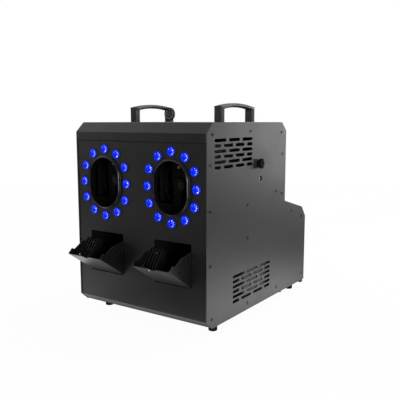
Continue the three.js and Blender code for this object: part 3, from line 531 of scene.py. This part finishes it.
def build_covers():
    path = [(UPPER_DEPTH, LIP_BOTTOM), (UPPER_DEPTH, HEIGHT - REAR_CHAMFER[1]), (UPPER_DEPTH - REAR_CHAMFER[0], HEIGHT),
            (TOP_CHAMFER[0], HEIGHT), (0, HEIGHT - TOP_CHAMFER[1]), (0, LIP_BOTTOM)]
    stations = fold_stations(path, COVER_SHEET)
    flat = plate(rectangle(-PANEL_X, PANEL_X, 0, stations[-1][0]), [], COVER_SHEET, 0.3)
    piece("top_lid", folded(flat, stations, COVER_SHEET), "root", "cabinet_paint", replaces=["top_cover"])

    # A black strip just under the lid's lip, in the rubber finish: painted shadow for the dark seam line there.
    strip = plate(rectangle(-PANEL_X, PANEL_X, LIP_BOTTOM - 2.0, LIP_BOTTOM - 0.1, 0.3), [], 1.2, 0.25)
    piece("lid_shadow_strip", moved(strip, place(0, 1.1, 0, UPRIGHT_Y)), "root", "foot_rubber")

    rear_face = UPPER_DEPTH - COVER_SHEET - 0.3
    slope = (STEP_TOP - STEP_EDGE[1]) / (STEP_EDGE[0] - UPPER_DEPTH)
    path = [(FULL_DEPTH - 0.4, STEP_REAR - 9), (FULL_DEPTH - 0.4, STEP_REAR), STEP_EDGE,
            (rear_face, STEP_EDGE[1] + (STEP_EDGE[0] - rear_face) * slope), (rear_face, LIP_BOTTOM + 15)]
    stations = fold_stations(path, COVER_SHEET)
    edge_along = min(s for s, p, _ in stations if abs(p.x - STEP_EDGE[0]) < 0.8)
    edge_point = next(p for s, p, _ in stations if s == edge_along)
    cap_along = edge_along + (edge_point.x - CAP_Y) / math.cos(math.atan(slope))
    holes = [circle(x, cap_along, 16.8) for x in CAP_XS.values()]
    flat = plate(rectangle(-PANEL_X, PANEL_X, 0, stations[-1][0]), holes, COVER_SHEET, 0.3)
    piece("rear_step", folded(flat, stations, COVER_SHEET), "root", "cabinet_paint", replaces=["rear_step_cover"])



def build_front():
    top = LIP_BOTTOM + 15
    path = [(PANEL_FACE, top), (PANEL_FACE, BOTTOM_CHAMFER[1] - 0.4), (BOTTOM_CHAMFER[0] + 0.4, 1.0)]
    stations = fold_stations(path, FRONT_SHEET)
    holes = []
    for _, side in SIDES:
        x = side * OUTLET_X
        holes.append(tall_slot(x, top - OUTLET_Z, RIM_R - 2.2, RIM_STRAIGHT, 32))
        holes += [circle(x + dx, top - OUTLET_Z - dz, LENS_HOLE_R, 36) for dx, dz in led_places()]
        holes.append(rectangle(side * FOG_X - FOG_HALF, side * FOG_X + FOG_HALF, top - FOG_TOP, top - FOG_BOTTOM, 0.8))
    flat = plate(rectangle(-PANEL_X, PANEL_X, 0, stations[-1][0]), holes, FRONT_SHEET, 0.35)
    sheet = folded(flat, stations, FRONT_SHEET)
    lugs = []
    for _, side in SIDES:
        for end in (-1, 1):
            x = side * FOG_X + end * (FOG_HALF + 1.15)
            ear = plate(arc(PIN_Y + 2, PIN_Z, 5, -90, 90, 10) + [(PANEL_FACE + 1, PIN_Z + 5), (PANEL_FACE + 1, PIN_Z - 5)],
                        [], 1.5, 0.3)
            lugs.append(moved(ear, place(x, 0, 0, UPRIGHT_X)))
    piece("front_sheet", joined([sheet, *lugs]), "root", "cabinet_paint", replaces=["front_panel"])


def build_outlets():
    rim_profile = [
        (RIM_R, 1.4), (RIM_R, 0.2), (RIM_R - 0.3, -0.2), (RIM_R - 1.3, -0.3), (RIM_R - 1.6, -0.6), (RIM_R - 1.7, -1.4),
        (RIM_R - 1.9, -2.4), (RIM_R - 2.4, -3.5), (RIM_R - 3.1, -4.4), (RIM_R - 3.9, -5.0), (RIM_R - 4.5, -5.2),
        (CLEAR_R + 0.8, -4.6), (CLEAR_R + 0.8, -3.2), (CLEAR_R + 1.4, -0.6), (CLEAR_R + 2.4, 1.0), (RIM_R - 2.8, 2.6),
        (RIM_R - 2.3, 2.6), (RIM_R - 2.3, 1.4),
    ]
    for name, side in SIDES:
        x = side * OUTLET_X
        loops = [[(a, y, b) for a, b in tall_slot(x, OUTLET_Z, r, RIM_STRAIGHT, 36)] for r, y in rim_profile]
        piece(f"outlet_bezel_{name}", loft(loops, closed=True), "root", "moulded_plastic",
              RIM_PLASTIC, replaces=[f"outlet_rim_{name}"])
        sleeve = [(RIM_R - 3.2, 2.0), (RIM_R - 2.5, 2.0), (RIM_R - 2.5, 11.0), (RIM_R - 3.2, 11.0)]
        loops = [[(a, y, b) for a, b in tall_slot(x, OUTLET_Z, r, RIM_STRAIGHT, 36)] for r, y in sleeve]
        piece(f"outlet_sleeve_{name}", loft(loops, closed=True), "root", "moulded_plastic", KNOB_PLASTIC)
        collar = [(LENS_R + 0.2, 8), (LENS_R + 0.2, 0.4), (LENS_R + 0.5, 0.0), (LENS_HOLE_R - 0.15, 0.6), (LENS_HOLE_R - 0.15, 8)]
        spots = [(x + dx, OUTLET_Z + dz) for dx, dz in led_places()]
        steps = 36
        ring = loft([[(r * math.cos(t), y, r * math.sin(t)) for t in (2 * math.pi * i / steps for i in range(steps))]
                     for r, y in collar], closed=True)
        piece(f"lens_collars_{name}", copies(ring, [place(a, 0, b) for a, b in spots]), "root", "moulded_plastic", COLLAR)
        build_lenses(name, spots)


def build_lenses(name, spots):
    """Twelve domes with a pattern of small facets, each with its own UV map from -1 to 1, and the strip behind them."""
    rings, steps, dome, front = 11, 42, 2.2, -0.6
    facet = 2.6
    radii = [LENS_R * (i + 1) / rings for i in range(rings)]

    def height(a, b):
        """How far the dome stands in front of its edge at an offset from its middle."""
        near = 1 - (a * a + b * b) / LENS_R ** 2
        bead = math.cos(2 * math.pi * a / facet) * math.cos(2 * math.pi * b / facet)
        return dome * near + 0.22 * bead * min(1, near * 4)

    bm = bmesh.new()
    uv = bm.loops.layers.uv.new("lens")
    for x, z in spots:
        def vertex(a, b, y=None):
            v = bm.verts.new((x + a, front - height(a, b) if y is None else y, z + b))
            return v, (a / LENS_R, b / LENS_R)

        rows = [[vertex(r * math.cos(t), r * math.sin(t)) for t in (2 * math.pi * i / steps for i in range(steps))]
                for r in radii]
        rows.append([vertex(a * LENS_R, b * LENS_R, 9.0) for _, (a, b) in rows[-1]])
        middle = vertex(0, 0)
        faces = [(middle, rows[0][i], rows[0][(i + 1) % steps]) for i in range(steps)]
        for inner, outer in zip(rows, rows[1:]):
            faces += [(inner[i], outer[i], outer[(i + 1) % steps], inner[(i + 1) % steps]) for i in range(steps)]
        faces.append(tuple(reversed(rows[-1])))
        for corners in faces:
            face = bm.faces.new([v for v, _ in corners])
            for loop, (_, at) in zip(face.loops, corners):
                loop[uv].uv = at
    side = 1 if name == "right" else -1
    strip = plate(tall_slot(side * OUTLET_X, OUTLET_Z, LED_PATH_R + 11.6, LED_STRAIGHT, 24),
                  [tall_slot(side * OUTLET_X, OUTLET_Z, LED_PATH_R - 10.8, LED_STRAIGHT, 24)], 2.0, 0.3)
    piece(f"lens_domes_{name}", bm, "root", "led_lens", replaces=[f"led_lenses_{name}"], sharp=60)
    piece(f"lens_strip_{name}", moved(strip, place(0, 9.6, 0, UPRIGHT_Y)), "root", "moulded_plastic")


# ---------------------------------------------------------------- flaps

def flap_matrix():
    """From (u along the plate from the pin, x, v into the cabinet) to the cabinet, with the flap at its rest angle."""
    axes = Matrix(((0, 1, 0, 0), (0, 0, 1, 0), (1, 0, 0, 0), (0, 0, 0, 1)))
    return place(0, PIN_Y, PIN_Z, Matrix.Rotation(FLAP_OPEN, 4, "X")) @ axes


def cheek():
    """The cheek's free edge from the lip to the hinge, as (u, v)."""
    ear = [(FLAP_LENGTH, -KNUCKLE_R), (89.4, 10.4), (88.2, 11.8), (86.0, 12.4), (82.6, 12.7), (80.6, 13.6), (79.2, 16.0)]
    return ear + [(70.4, 34.6), (69.2, 37.0), (67.4, 39.0)] + arc(0, 0, 75, 35, 66, 10) + [(-1.5, 2.2)]


def build_flaps():
    deep = 80.0
    base = deep + KNUCKLE_R
    index_r, index_hole = 58.5, 2.7
    for name, side in SIDES:
        body = f"flap_{name}"
        x0, x1 = side * FOG_X - FLAP_HALF, side * FOG_X + FLAP_HALF
        stations = fold_stations([(x0, deep), (x0, -KNUCKLE_R), (x1, -KNUCKLE_R), (x1, deep)], FLAP_SHEET, 1.8)
        total = stations[-1][0]
        centre = total / 2
        shrink = base - (total - 2 * FLAP_HALF) / 2
        left = [(u, deep - v + (-shrink)) for u, v in cheek()]
        right = [(u, total - s) for u, s in reversed(left)]
        bite = [(FLAP_LENGTH, centre + 3.5 - 10.5), (86.4, centre + 3.5 - 7), (84.2, centre + 3.5 - 2.5),
                (84.2, centre + 3.5 + 2.5), (86.4, centre + 3.5 + 7), (FLAP_LENGTH, centre + 3.5 + 10.5)]
        outline = list(reversed(left)) + bite + list(reversed(right))
        holes = []
        for angle in (10, 22, 34, 46):
            t = math.radians(angle)
            u, v = index_r * math.cos(t), index_r * math.sin(t)
            holes += [circle(u, deep - v - shrink, index_hole, 16), circle(u, total - (deep - v - shrink), index_hole, 16)]
        tray = folded(plate(outline, holes, FLAP_SHEET, 0.35), stations, FLAP_SHEET)
        rolls = [(x0 + 0.5, x0 + 30), (x0 + 30.2, x1 - 30.2), (x1 - 30, x1 - 0.5)]
        knuckles = [moved(lathe([(KNUCKLE_R - 0.5, a), (KNUCKLE_R, a + 0.5), (KNUCKLE_R, b - 0.5), (KNUCKLE_R - 0.5, b)], 24),
                          place(0, PIN_Y, PIN_Z, FACE_RIGHT)) for a, b in rolls]
        shell = joined([moved(tray, flap_matrix()), *knuckles])
        piece(f"flap_shell_{name}", shell, body, "cabinet_paint", FLAP_PAINT, replaces=[f"fog_flap_{name}"])

        vane = plate([(30, 1.0), (62, -0.6), (62, 52), (59, 54), (46, 56), (37, 38), (30, 30)], [], 1.2, 0.35)
        turn = Matrix(((1, 0, 0, 0), (0, 0, 1, 0), (0, 1, 0, 0), (0, 0, 0, 1)))
        vanes = copies(vane, [flap_matrix() @ place(0, x0 + dx, 0) @ turn for dx in (5.5, 13.5, 21.5, 29.5, 37)])
        rod = moved(lathe([(1.3, 1.6), (1.3, 22.2)], 16), flap_matrix() @ place(55.5, x0, 44.3, FACE_REAR))
        piece(f"flap_vanes_{name}", joined([vanes, rod]), body, "inner_sheet", VANE_STEEL)
        bolts = copies(screw(2.3, 1.8), [
            flap_matrix() @ place(86, x0 + 43.5, -KNUCKLE_R, FACE_DOWN),
            flap_matrix() @ place(55.5, x0 + 22.1, 44.3, FACE_REAR),
        ])
        piece(f"flap_screws_{name}", bolts, body, "steel_parts", ZINC_SCREW)


# ---------------------------------------------------------------- handles, knobs, feet

def fluted_post(x, y, wide, deep, base, top):
    """A handle's post: a block with rounded corners whose sides carry upright flutes, under a plain shoulder."""
    def loop(z, inset, flute):
        points = []
        corners = [(-1, -1), (1, -1), (1, 1), (-1, 1)]
        half = (wide / 2 - inset, deep / 2 - inset)
        for i in range(4):
            (ax, ay), (bx, by) = corners[i], corners[(i + 1) % 4]
            length = wide if ay == by else deep
            count = round(length / 4.2)
            inward = Vector((-(ax + bx) / 2, -(ay + by) / 2))
            for k in range(count * 6):
                t = (k + 0.5) / (count * 6)
                dip = flute * 0.5 * (1 - math.cos(2 * math.pi * count * t))
                corner = 1.6 * max(0.0, 1 - min(t, 1 - t) * length / 1.6) ** 2
                here = Vector(((ax + (bx - ax) * t) * half[0], (ay + (by - ay) * t) * half[1])) + inward * (dip + corner * 0.5)
                points.append((x + here.x, y + here.y, z))
        return points
    return loft([loop(base, 0.2, 1.0), loop(top - 4.2, 0.2, 1.0), loop(top - 3.4, 0, 0), loop(top - 1.2, 0, 0),
                 loop(top - 0.3, 0.5, 0), loop(top, 1.4, 0)])


def grip(x, base, rise):
    """The bowed bar between a handle's posts, with an oval section."""
    radius = (HANDLE_HALF ** 2 + rise ** 2) / (2 * rise)
    loops = []
    for i in range(33):
        along = -1 + 2 * i / 32
        y = (HANDLE_HALF - 3.5) * along
        z = base + rise - radius + math.sqrt(radius ** 2 - y * y)
        tilt = math.asin(y / radius)
        tall = 4.9 + 1.2 * abs(along) ** 4
        ring = []
        for k in range(28):
            t = 2 * math.pi * k / 28
            a = math.copysign(abs(math.cos(t)) ** 0.8, math.cos(t)) * (HANDLE_WIDTH / 2 - 0.1)
            b = math.copysign(abs(math.sin(t)) ** 0.9, math.sin(t)) * tall - tall
            ring.append((x + a, HANDLE_Y + y + b * math.sin(tilt), z + b * math.cos(tilt)))
        loops.append(ring)
    return loft(loops)


def build_handles():
    """Two handles. The far post of the left one carries a round disc that faces forwards."""
    bottom, post_top, post = HEIGHT + 0.3, HEIGHT + 37, 14.5
    disc = [(4.6, -5.0), (16.0, -5.0), (DISC_R, -4.4), (DISC_R, -0.9), (16.0, -0.2), (15.2, -0.3), (14.6, -1.5),
            (11.0, -1.7), (10.4, -0.6), (9.6, -0.5), (0.5, -0.5)]
    ring = [(14.1, -1.9), (14.0, -0.2), (13.2, 0.5), (12.2, 0.5), (11.4, -0.1), (11.3, -1.9)]
    for name, side in SIDES:
        x = side * HANDLE_X
        posts = [fluted_post(x, HANDLE_Y + end * (HANDLE_HALF - post / 2), HANDLE_WIDTH, post, bottom, post_top - 0.6)
                 for end in (-1, 1)]
        parts = posts + [grip(x, post_top, 7.0)]
        if side < 0:
            neck = lathe([(4.8, -17.0), (4.8, -4.0)], 24)
            where = place(DISC_X, DISC_Y, DISC_Z, FACE_FRONT)
            parts += [moved(lathe(disc, 56), where), moved(neck, place(x + 4, DISC_Y, DISC_Z, FACE_FRONT))]
            steps = 56
            band = loft([[(r * math.cos(t), r * math.sin(t), h) for t in (2 * math.pi * i / steps for i in range(steps))]
                         for r, h in ring], closed=True)
            piece("handle_disc_ring", moved(band, where), "root", "handle_plastic", DISC_RING_GREY_AND_HIGHLIGHT)
            # A black ring laid over the groove round the trim ring: painted shade for that groove.
            gap = moved(plate(circle(0, 0, 16.2, 48), [circle(0, 0, 14.3, 48)], 0.5, 0.15), place(0, 0, 0.0))
            piece("handle_disc_groove_shade", moved(gap, where), "root", "handle_plastic", KNOB_PLASTIC)
        piece(f"carry_handle_{name}", joined(parts), "root", "handle_plastic", replaces=[f"handle_{name}"])


def build_knobs():
    """Six-armed knobs with a rounded edge, their studs going through the side panels."""
    arms, steps = 6, 96
    rim = []
    for i in range(steps):
        t = 2 * math.pi * i / steps
        r = KNOB_R - 3.6 * max(0.0, math.cos(arms * t)) ** 1.4
        rim.append((r * math.cos(t), r * math.sin(t)))
    hub = [(9.6, 1.6), (10.4, 2.2), (10.4, 5.0), (3.0, 5.2)]
    for name, side in SIDES:
        star = moved(plate(rim, [], 4.6, 1.0, 2), place(0, 0, 6.9))
        stud = lathe([(4.0, -14), (4.0, 1)], 24)
        knob = moved(joined([star, lathe(hub, 40), stud]), place(side * HALF_WIDTH, KNOB_Y, KNOB_Z, facing_side(side)))
        piece(f"star_knob_{name}", knob, f"knob_{name}", "moulded_plastic", KNOB_PLASTIC, replaces=[f"bracket_knob_{name}"])


def build_feet():
    top = FOOT_HEIGHT + 0.6
    profile = [(2.6, 1.6), (6.2, 1.6), (6.6, 0.2), (8.6, 0.0), (9.6, 0.5), (10.0, 1.8), (9.9, 8), (9.4, top - 1.4), (8.8, top),
               (2.0, top)]
    for end in ("front", "rear"):
        for name, _ in SIDES:
            node = f"foot_{end}_{name}"
            low, high = cabinet_box(node)
            centre = (low + high) / 2
            where = place(centre.x, centre.y, low.z)
            piece(f"rubber_{node}", moved(lathe(profile, 40), where), "root", "foot_rubber", replaces=[node])
            bolt = moved(screw(2.8), where @ place(0, 0, 1.7, FACE_DOWN))
            piece(f"{node}_screw", bolt, "root", "steel_parts", ZINC_SCREW)
    bumper = moved(plate(rectangle(-5, 5, -6, 6, 2), [], 8, 1.2, 2), place(0, 0, -3.9))
    piece("rear_bumpers", copies(bumper, [place(side * 178, 478, 0) for _, side in SIDES]), "root", "foot_rubber")


# ---------------------------------------------------------------- rear, and what shows through the openings

def build_rear():
    slope = math.atan2(STEP_TOP - STEP_EDGE[1], STEP_EDGE[0] - UPPER_DEPTH)
    z = STEP_TOP - (CAP_Y - UPPER_DEPTH) * math.tan(slope)
    ribs = 30
    steps = ribs * 6
    for name, x in CAP_XS.items():
        tilt = place(x, CAP_Y, z, Matrix.Rotation(-slope, 4, "X"))

        def ring(r, h, ribbed):
            turns = [2 * math.pi * i / steps for i in range(steps)]
            return [((r + ribbed * 0.5 * math.cos(ribs * t)) * math.cos(t),
                     (r + ribbed * 0.5 * math.cos(ribs * t)) * math.sin(t), h) for t in turns]

        skirt = [(16.6, 10.0, 0), (16.6, 0.4, 0), (20.4, 0.4, 0), (20.9, 1.0, 1), (20.6, 11.4, 1), (19.8, 13.0, 0),
                 (18.4, 13.8, 0), (12.5, 14.0, 0), (11.6, 13.2, 0), (0.6, 13.0, 0)]
        cap = loft([ring(*row) for row in skirt])
        piece(f"{name}_cap_ribbed", moved(cap, tilt), f"{name}_cap", "moulded_plastic", replaces=[f"{name}_filler_cap"])

    frame_low, frame_high = cabinet_box("display_window")
    bezel = plate(rectangle(frame_low.x - 3.5, frame_high.x + 3.5, frame_low.z - 3.5, frame_high.z + 3.5, 2),
                  [rectangle(frame_low.x, frame_high.x, frame_low.z, frame_high.z, 0.5)], 1.4, 0.4)
    piece("display_bezel", moved(bezel, place(0, REAR_FACE + 0.75, 0, UPRIGHT_Y)), "root", "moulded_plastic")

    rings = []
    for i in range(1, 5):
        low, high = cabinet_box(f"menu_button_{i}")
        middle = (low + high) / 2
        collar = plate(circle(0, 0, 8.2), [circle(0, 0, 5.5)], 1.2, 0.4)
        rings.append(moved(collar, place(middle.x, REAR_FACE + 0.65, middle.z, FACE_REAR)))
    piece("button_collars", joined(rings), "root", "moulded_plastic")

    panel_screws = [(-175, 12), (-175, 90), (-175, 168), (0, 12), (0, 168), (175, 90), (175, 168), (176, 12)]
    bolts = [place(x, REAR_FACE, zz, FACE_REAR) for x, zz in panel_screws]
    bolts += [place(x, UPPER_DEPTH, zz, FACE_REAR) for x in (-172, 0, 172) for zz in (402,)]
    for x in (-172, -89, 89, 172):
        y = UPPER_DEPTH + 12
        bolts.append(place(x, y, STEP_TOP - 12 * math.tan(slope), Matrix.Rotation(-slope, 4, "X")))
    piece("rear_screws", copies(screw(2.9, 1.1), bolts), "root", "steel_parts", BLACK_SCREW)
    sockets = []
    for node in ("data_socket_in", "data_socket_out"):
        low, high = cabinet_box(node)
        sockets += [place(low.x + 3, REAR_FACE + 2.3, high.z - 3.4, FACE_REAR),
                    place(high.x - 3, REAR_FACE + 2.3, low.z + 3.4, FACE_REAR)]
    piece("socket_screws", copies(screw(2.0, 0.8), sockets), "root", "steel_parts", ZINC_SCREW)


def build_inside():
    """What shows through the openings: wheel brackets, fog ducts, the power supply's can and the index plates."""
    for name, side in SIDES:
        x = side * OUTLET_X
        leg = [(-20, 224.6), (1.8, 224.6), (1.8, WHEEL_Z - 18), (4, WHEEL_Z - 14), (22, WHEEL_Z - 6), (22, 392), (-22, 392),
               (-22, WHEEL_Z + 4), (-19, WHEEL_Z - 8), (-18.4, WHEEL_Z - 30)]
        strip = moved(plate([(x + a, b) for a, b in leg], [circle(x, WHEEL_Z, 3.4)], 1.5, 0.4),
                      place(0, 33.25, 0, UPRIGHT_Y))
        foot = moved(plate(rectangle(x - 22, x + 22, 24, 33, 1), [], 1.5, 0.3), place(0, 0, 225.4))
        boss = [(3.1, 1.4), (8.4, 1.4), (8.4, 3.6), (8.9, 4.3), (14.2, 4.5), (15.0, 3.9), (15.2, -0.2), (3.1, -0.2)]
        boss_ring = loft([[(r * math.cos(t), r * math.sin(t), h) for t in (2 * math.pi * i / 40 for i in range(40))]
                          for r, h in boss], closed=True)
        boss_ring = moved(boss_ring, place(x, 32.6, WHEEL_Z, FACE_FRONT))
        piece(f"bracket_strip_{name}", joined([strip, foot, boss_ring]), "root", "inner_sheet",
              replaces=[f"wheel_bracket_{name}"])
        cap = moved(lathe([(7.6, 0.0), (7.6, 0.8), (6.8, 1.2), (2.0, 1.3), (0.5, 1.3)], 32), place(x, 31.0, WHEEL_Z, FACE_FRONT))
        piece(f"bearing_cap_{name}", cap, "root", "moulded_plastic")
        piece(f"bracket_screw_{name}", moved(screw(3.0), place(x - 3.3, 32.5, 337.9, FACE_FRONT)), "root", "steel_parts",
              ZINC_SCREW)

        x0, x1 = side * FOG_X - 51.4, side * FOG_X + 51.4
        back = plate(rectangle(x0, x1, 81.5, 183.5), [circle(side * 83, 107, 9)], 1.2, 0.3)
        walls = [moved(plate(rectangle(4.6, 80, 81.5, 183.5), [], 1.2, 0.3), place(a, 0, 0, UPRIGHT_X)) for a in (x0, x1)]
        lids = [moved(plate(rectangle(x0, x1, 4.6, 80), [], 1.2, 0.3), place(0, 0, a)) for a in (81.5, 183.5)]
        piece(f"fog_duct_{name}", joined([moved(back, place(0, 80, 0, UPRIGHT_Y)), *walls, *lids]), "root", "inner_sheet")

    low, high = cabinet_box("power_supply")
    wide = high.x - low.x
    can = moved(plate(rectangle(low.y + 10, high.y - 10, low.z, high.z, 1.5), [], wide, 1.2, 2),
                place(low.x + wide / 2, 0, 0, UPRIGHT_X))
    flange = moved(plate(rectangle(low.x, high.x, low.y, high.y, 2), [], 1.6, 0.4), place(0, 0, low.z + 0.8))
    piece("supply_can", joined([can, flange]), "root", "cast_aluminium", DARK_TIN, replaces=["power_supply"])

    tags = [moved(lathe([(4.6, -1.5), (4.6, 0.0), (0.5, 0.0)], 24), place(side * 182.3, INDEX_HOLE[0] - 2.6, INDEX_HOLE[1],
                                                                    facing_side(side))) for _, side in SIDES]
    piece("index_plates", joined(tags), "root", "steel_parts", ZINC_SCREW)


# ---------------------------------------------------------------- assembly

for row in frame["record"]["subparts"]:
    node = frame["nodes"][row["node"]]
    node.data.materials.clear()
    node.data.materials.append(FINISHES[row["material_slot"]])

build_side_panels()
build_covers()
build_front()
build_outlets()
build_flaps()
build_handles()
build_knobs()
build_feet()
build_rear()
build_inside()


# ---------------------------------------------------------------- stage

def area_light(name, location, target, size, power, colour=(1, 1, 1)):
    data = bpy.data.lights.new(name, "AREA")
    data.shape, data.size, data.size_y = "RECTANGLE", size[0], size[1]
    data.energy, data.color = power, colour
    light = bpy.data.objects.new(name, data)
    bpy.context.scene.collection.objects.link(light)
    light.location = location
    light.rotation_euler = (Vector(target) - Vector(location)).to_track_quat("-Z", "Y").to_euler()
    return light


def build_floor():
    reach = 3.0
    bm = lathe([(0.001, -0.002), (reach, -0.002), (reach, 0.0), (0.001, 0.0)], 96)
    mesh = bpy.data.meshes.new("floor")
    bm.to_mesh(mesh)
    bm.free()
    floor = bpy.data.objects.new("floor", mesh)
    bpy.context.scene.collection.objects.link(floor)
    material, g = new_graph("floor_finish")
    coords = g.add("ShaderNodeTexCoord").outputs["Object"]
    x, y, _ = g.add("ShaderNodeSeparateXYZ", {0: coords}).outputs
    away = g.add("ShaderNodeVectorMath", {0: coords}, operation="LENGTH").outputs["Value"]
    fade = g.spread(away, 1.2, reach - 0.1, 0, 1)

    def band(distance, start, end, near, far, level):
        """Glow that rises from start to end past a side of the cabinet, and fades to level between near and far."""
        return g.math("MULTIPLY", g.spread(distance, start, end, 0, 1), g.spread(distance, near, far, 1, level))

    ahead, left = g.math("SUBTRACT", -0.185, y), g.math("SUBTRACT", -0.185, x)
    right, behind = g.math("SUBTRACT", x, 0.185), g.math("SUBTRACT", y, 0.28)
    glows = [g.math("MULTIPLY", band(*row), strength) for row, strength in (
        ((ahead, -0.018, 0.022, 0.03, 0.12, 0.05), 1.7), ((left, -0.01, 0.06, 0.1, 1.2, 0.4), 2.2),
        ((right, -0.01, 0.05, 0.12, 0.42, 0.1), 2.6), ((behind, 0.0, 0.1, 0.1, 1.0, 1.0), 0.2),
    )]
    glows[1] = g.math("MULTIPLY", glows[1], g.spread(ahead, -0.1, 0.5, 1.0, 0.2))
    glows[2] = g.math("MULTIPLY", glows[2], g.spread(y, 0.25, 0.6, 1.0, 0.15))
    glows[2] = g.math("MULTIPLY", glows[2], g.spread(y, -0.35, -0.1, 0.15, 1.0))
    lit = g.math("MAXIMUM", g.math("MAXIMUM", glows[0], glows[1]), g.math("MAXIMUM", glows[2], glows[3]))
    seen = g.add("ShaderNodeLightPath").outputs["Is Camera Ray"]
    unseen_glow = g.add("ShaderNodeEmission", {"Color": grey(1), "Strength": lit}).outputs[0]
    diffuse = g.add("ShaderNodeBsdfDiffuse", {"Color": grey(0.9)}).outputs[0]
    glow = g.add("ShaderNodeEmission", {"Color": grey(1), "Strength": 1.0}).outputs[0]
    pale = g.add("ShaderNodeMixShader", {0: 0.97, 1: diffuse, 2: glow}).outputs[0]
    plain = g.add("ShaderNodeMixShader", {0: seen, 1: unseen_glow, 2: pale}).outputs[0]
    clear = g.add("ShaderNodeBsdfTransparent").outputs[0]
    g.add("ShaderNodeOutputMaterial", {"Surface": g.add("ShaderNodeMixShader", {0: fade, 1: plain, 2: clear}).outputs[0]})
    mesh.materials.append(material)


def build_world():
    world = bpy.data.worlds.new("studio")
    bpy.context.scene.world = world
    world.use_nodes = True
    g = Graph(world.node_tree)
    direction = g.add("ShaderNodeTexCoord").outputs["Generated"]
    axes = g.add("ShaderNodeSeparateXYZ", {0: direction}).outputs
    behind = g.spread(axes["Y"], -0.2, 0.8, 0.05, 0.6)
    above = g.spread(axes["Z"], 0.0, 0.35, 0.25, 1.0)
    ceiling = g.math("MULTIPLY", g.spread(axes["Z"], 0.6, 0.95, 0.0, 1.0), g.spread(axes["X"], -0.4, 0.4, 0.9, 0.5))
    behind = g.math("MAXIMUM", g.math("MULTIPLY", behind, above), ceiling)
    seen = g.add("ShaderNodeLightPath").outputs["Is Camera Ray"]
    strength = g.add("ShaderNodeMix", {0: seen, 2: behind, 3: 1.0}, data_type="FLOAT").outputs[0]
    shader = g.add("ShaderNodeBackground", {"Color": grey(1), "Strength": strength})
    g.add("ShaderNodeOutputWorld", {"Surface": shader.outputs[0]})


def build_camera():
    data = bpy.data.cameras.new("camera")
    data.lens, data.sensor_width = 50.45, 36.0
    camera = bpy.data.objects.new("camera", data)
    bpy.context.scene.collection.objects.link(camera)
    camera.location = TO_ROW @ Vector((808.4, -929.1, 436.8))
    camera.rotation_euler = (math.radians(81.935), 0, math.radians(34.537))
    bpy.context.scene.camera = camera


build_floor()
build_world()
build_camera()
area_light("overhead", (0.7, 0.9, 2.2), (0, 0, 0.2), (1.6, 1.6), 30)
area_light("rear_right", (0.95, 2.3, 0.5), (0.15, 0.1, 0.3), (1.0, 0.8), 15)
area_light("front_left", (-2.3, -1.6, 0.9), (0, -0.2, 0.3), (1.2, 1.0), 10)
area_light("upper_left", (-1.7, -0.4, 1.9), (0, -0.2, 0.4), (1.2, 0.9), 4)
area_light("front_right", (2.2, -1.5, 0.5), (0.1, -0.1, 0.3), (1.2, 1.0), 26)
bpy.context.scene.view_settings.view_transform = "Standard"
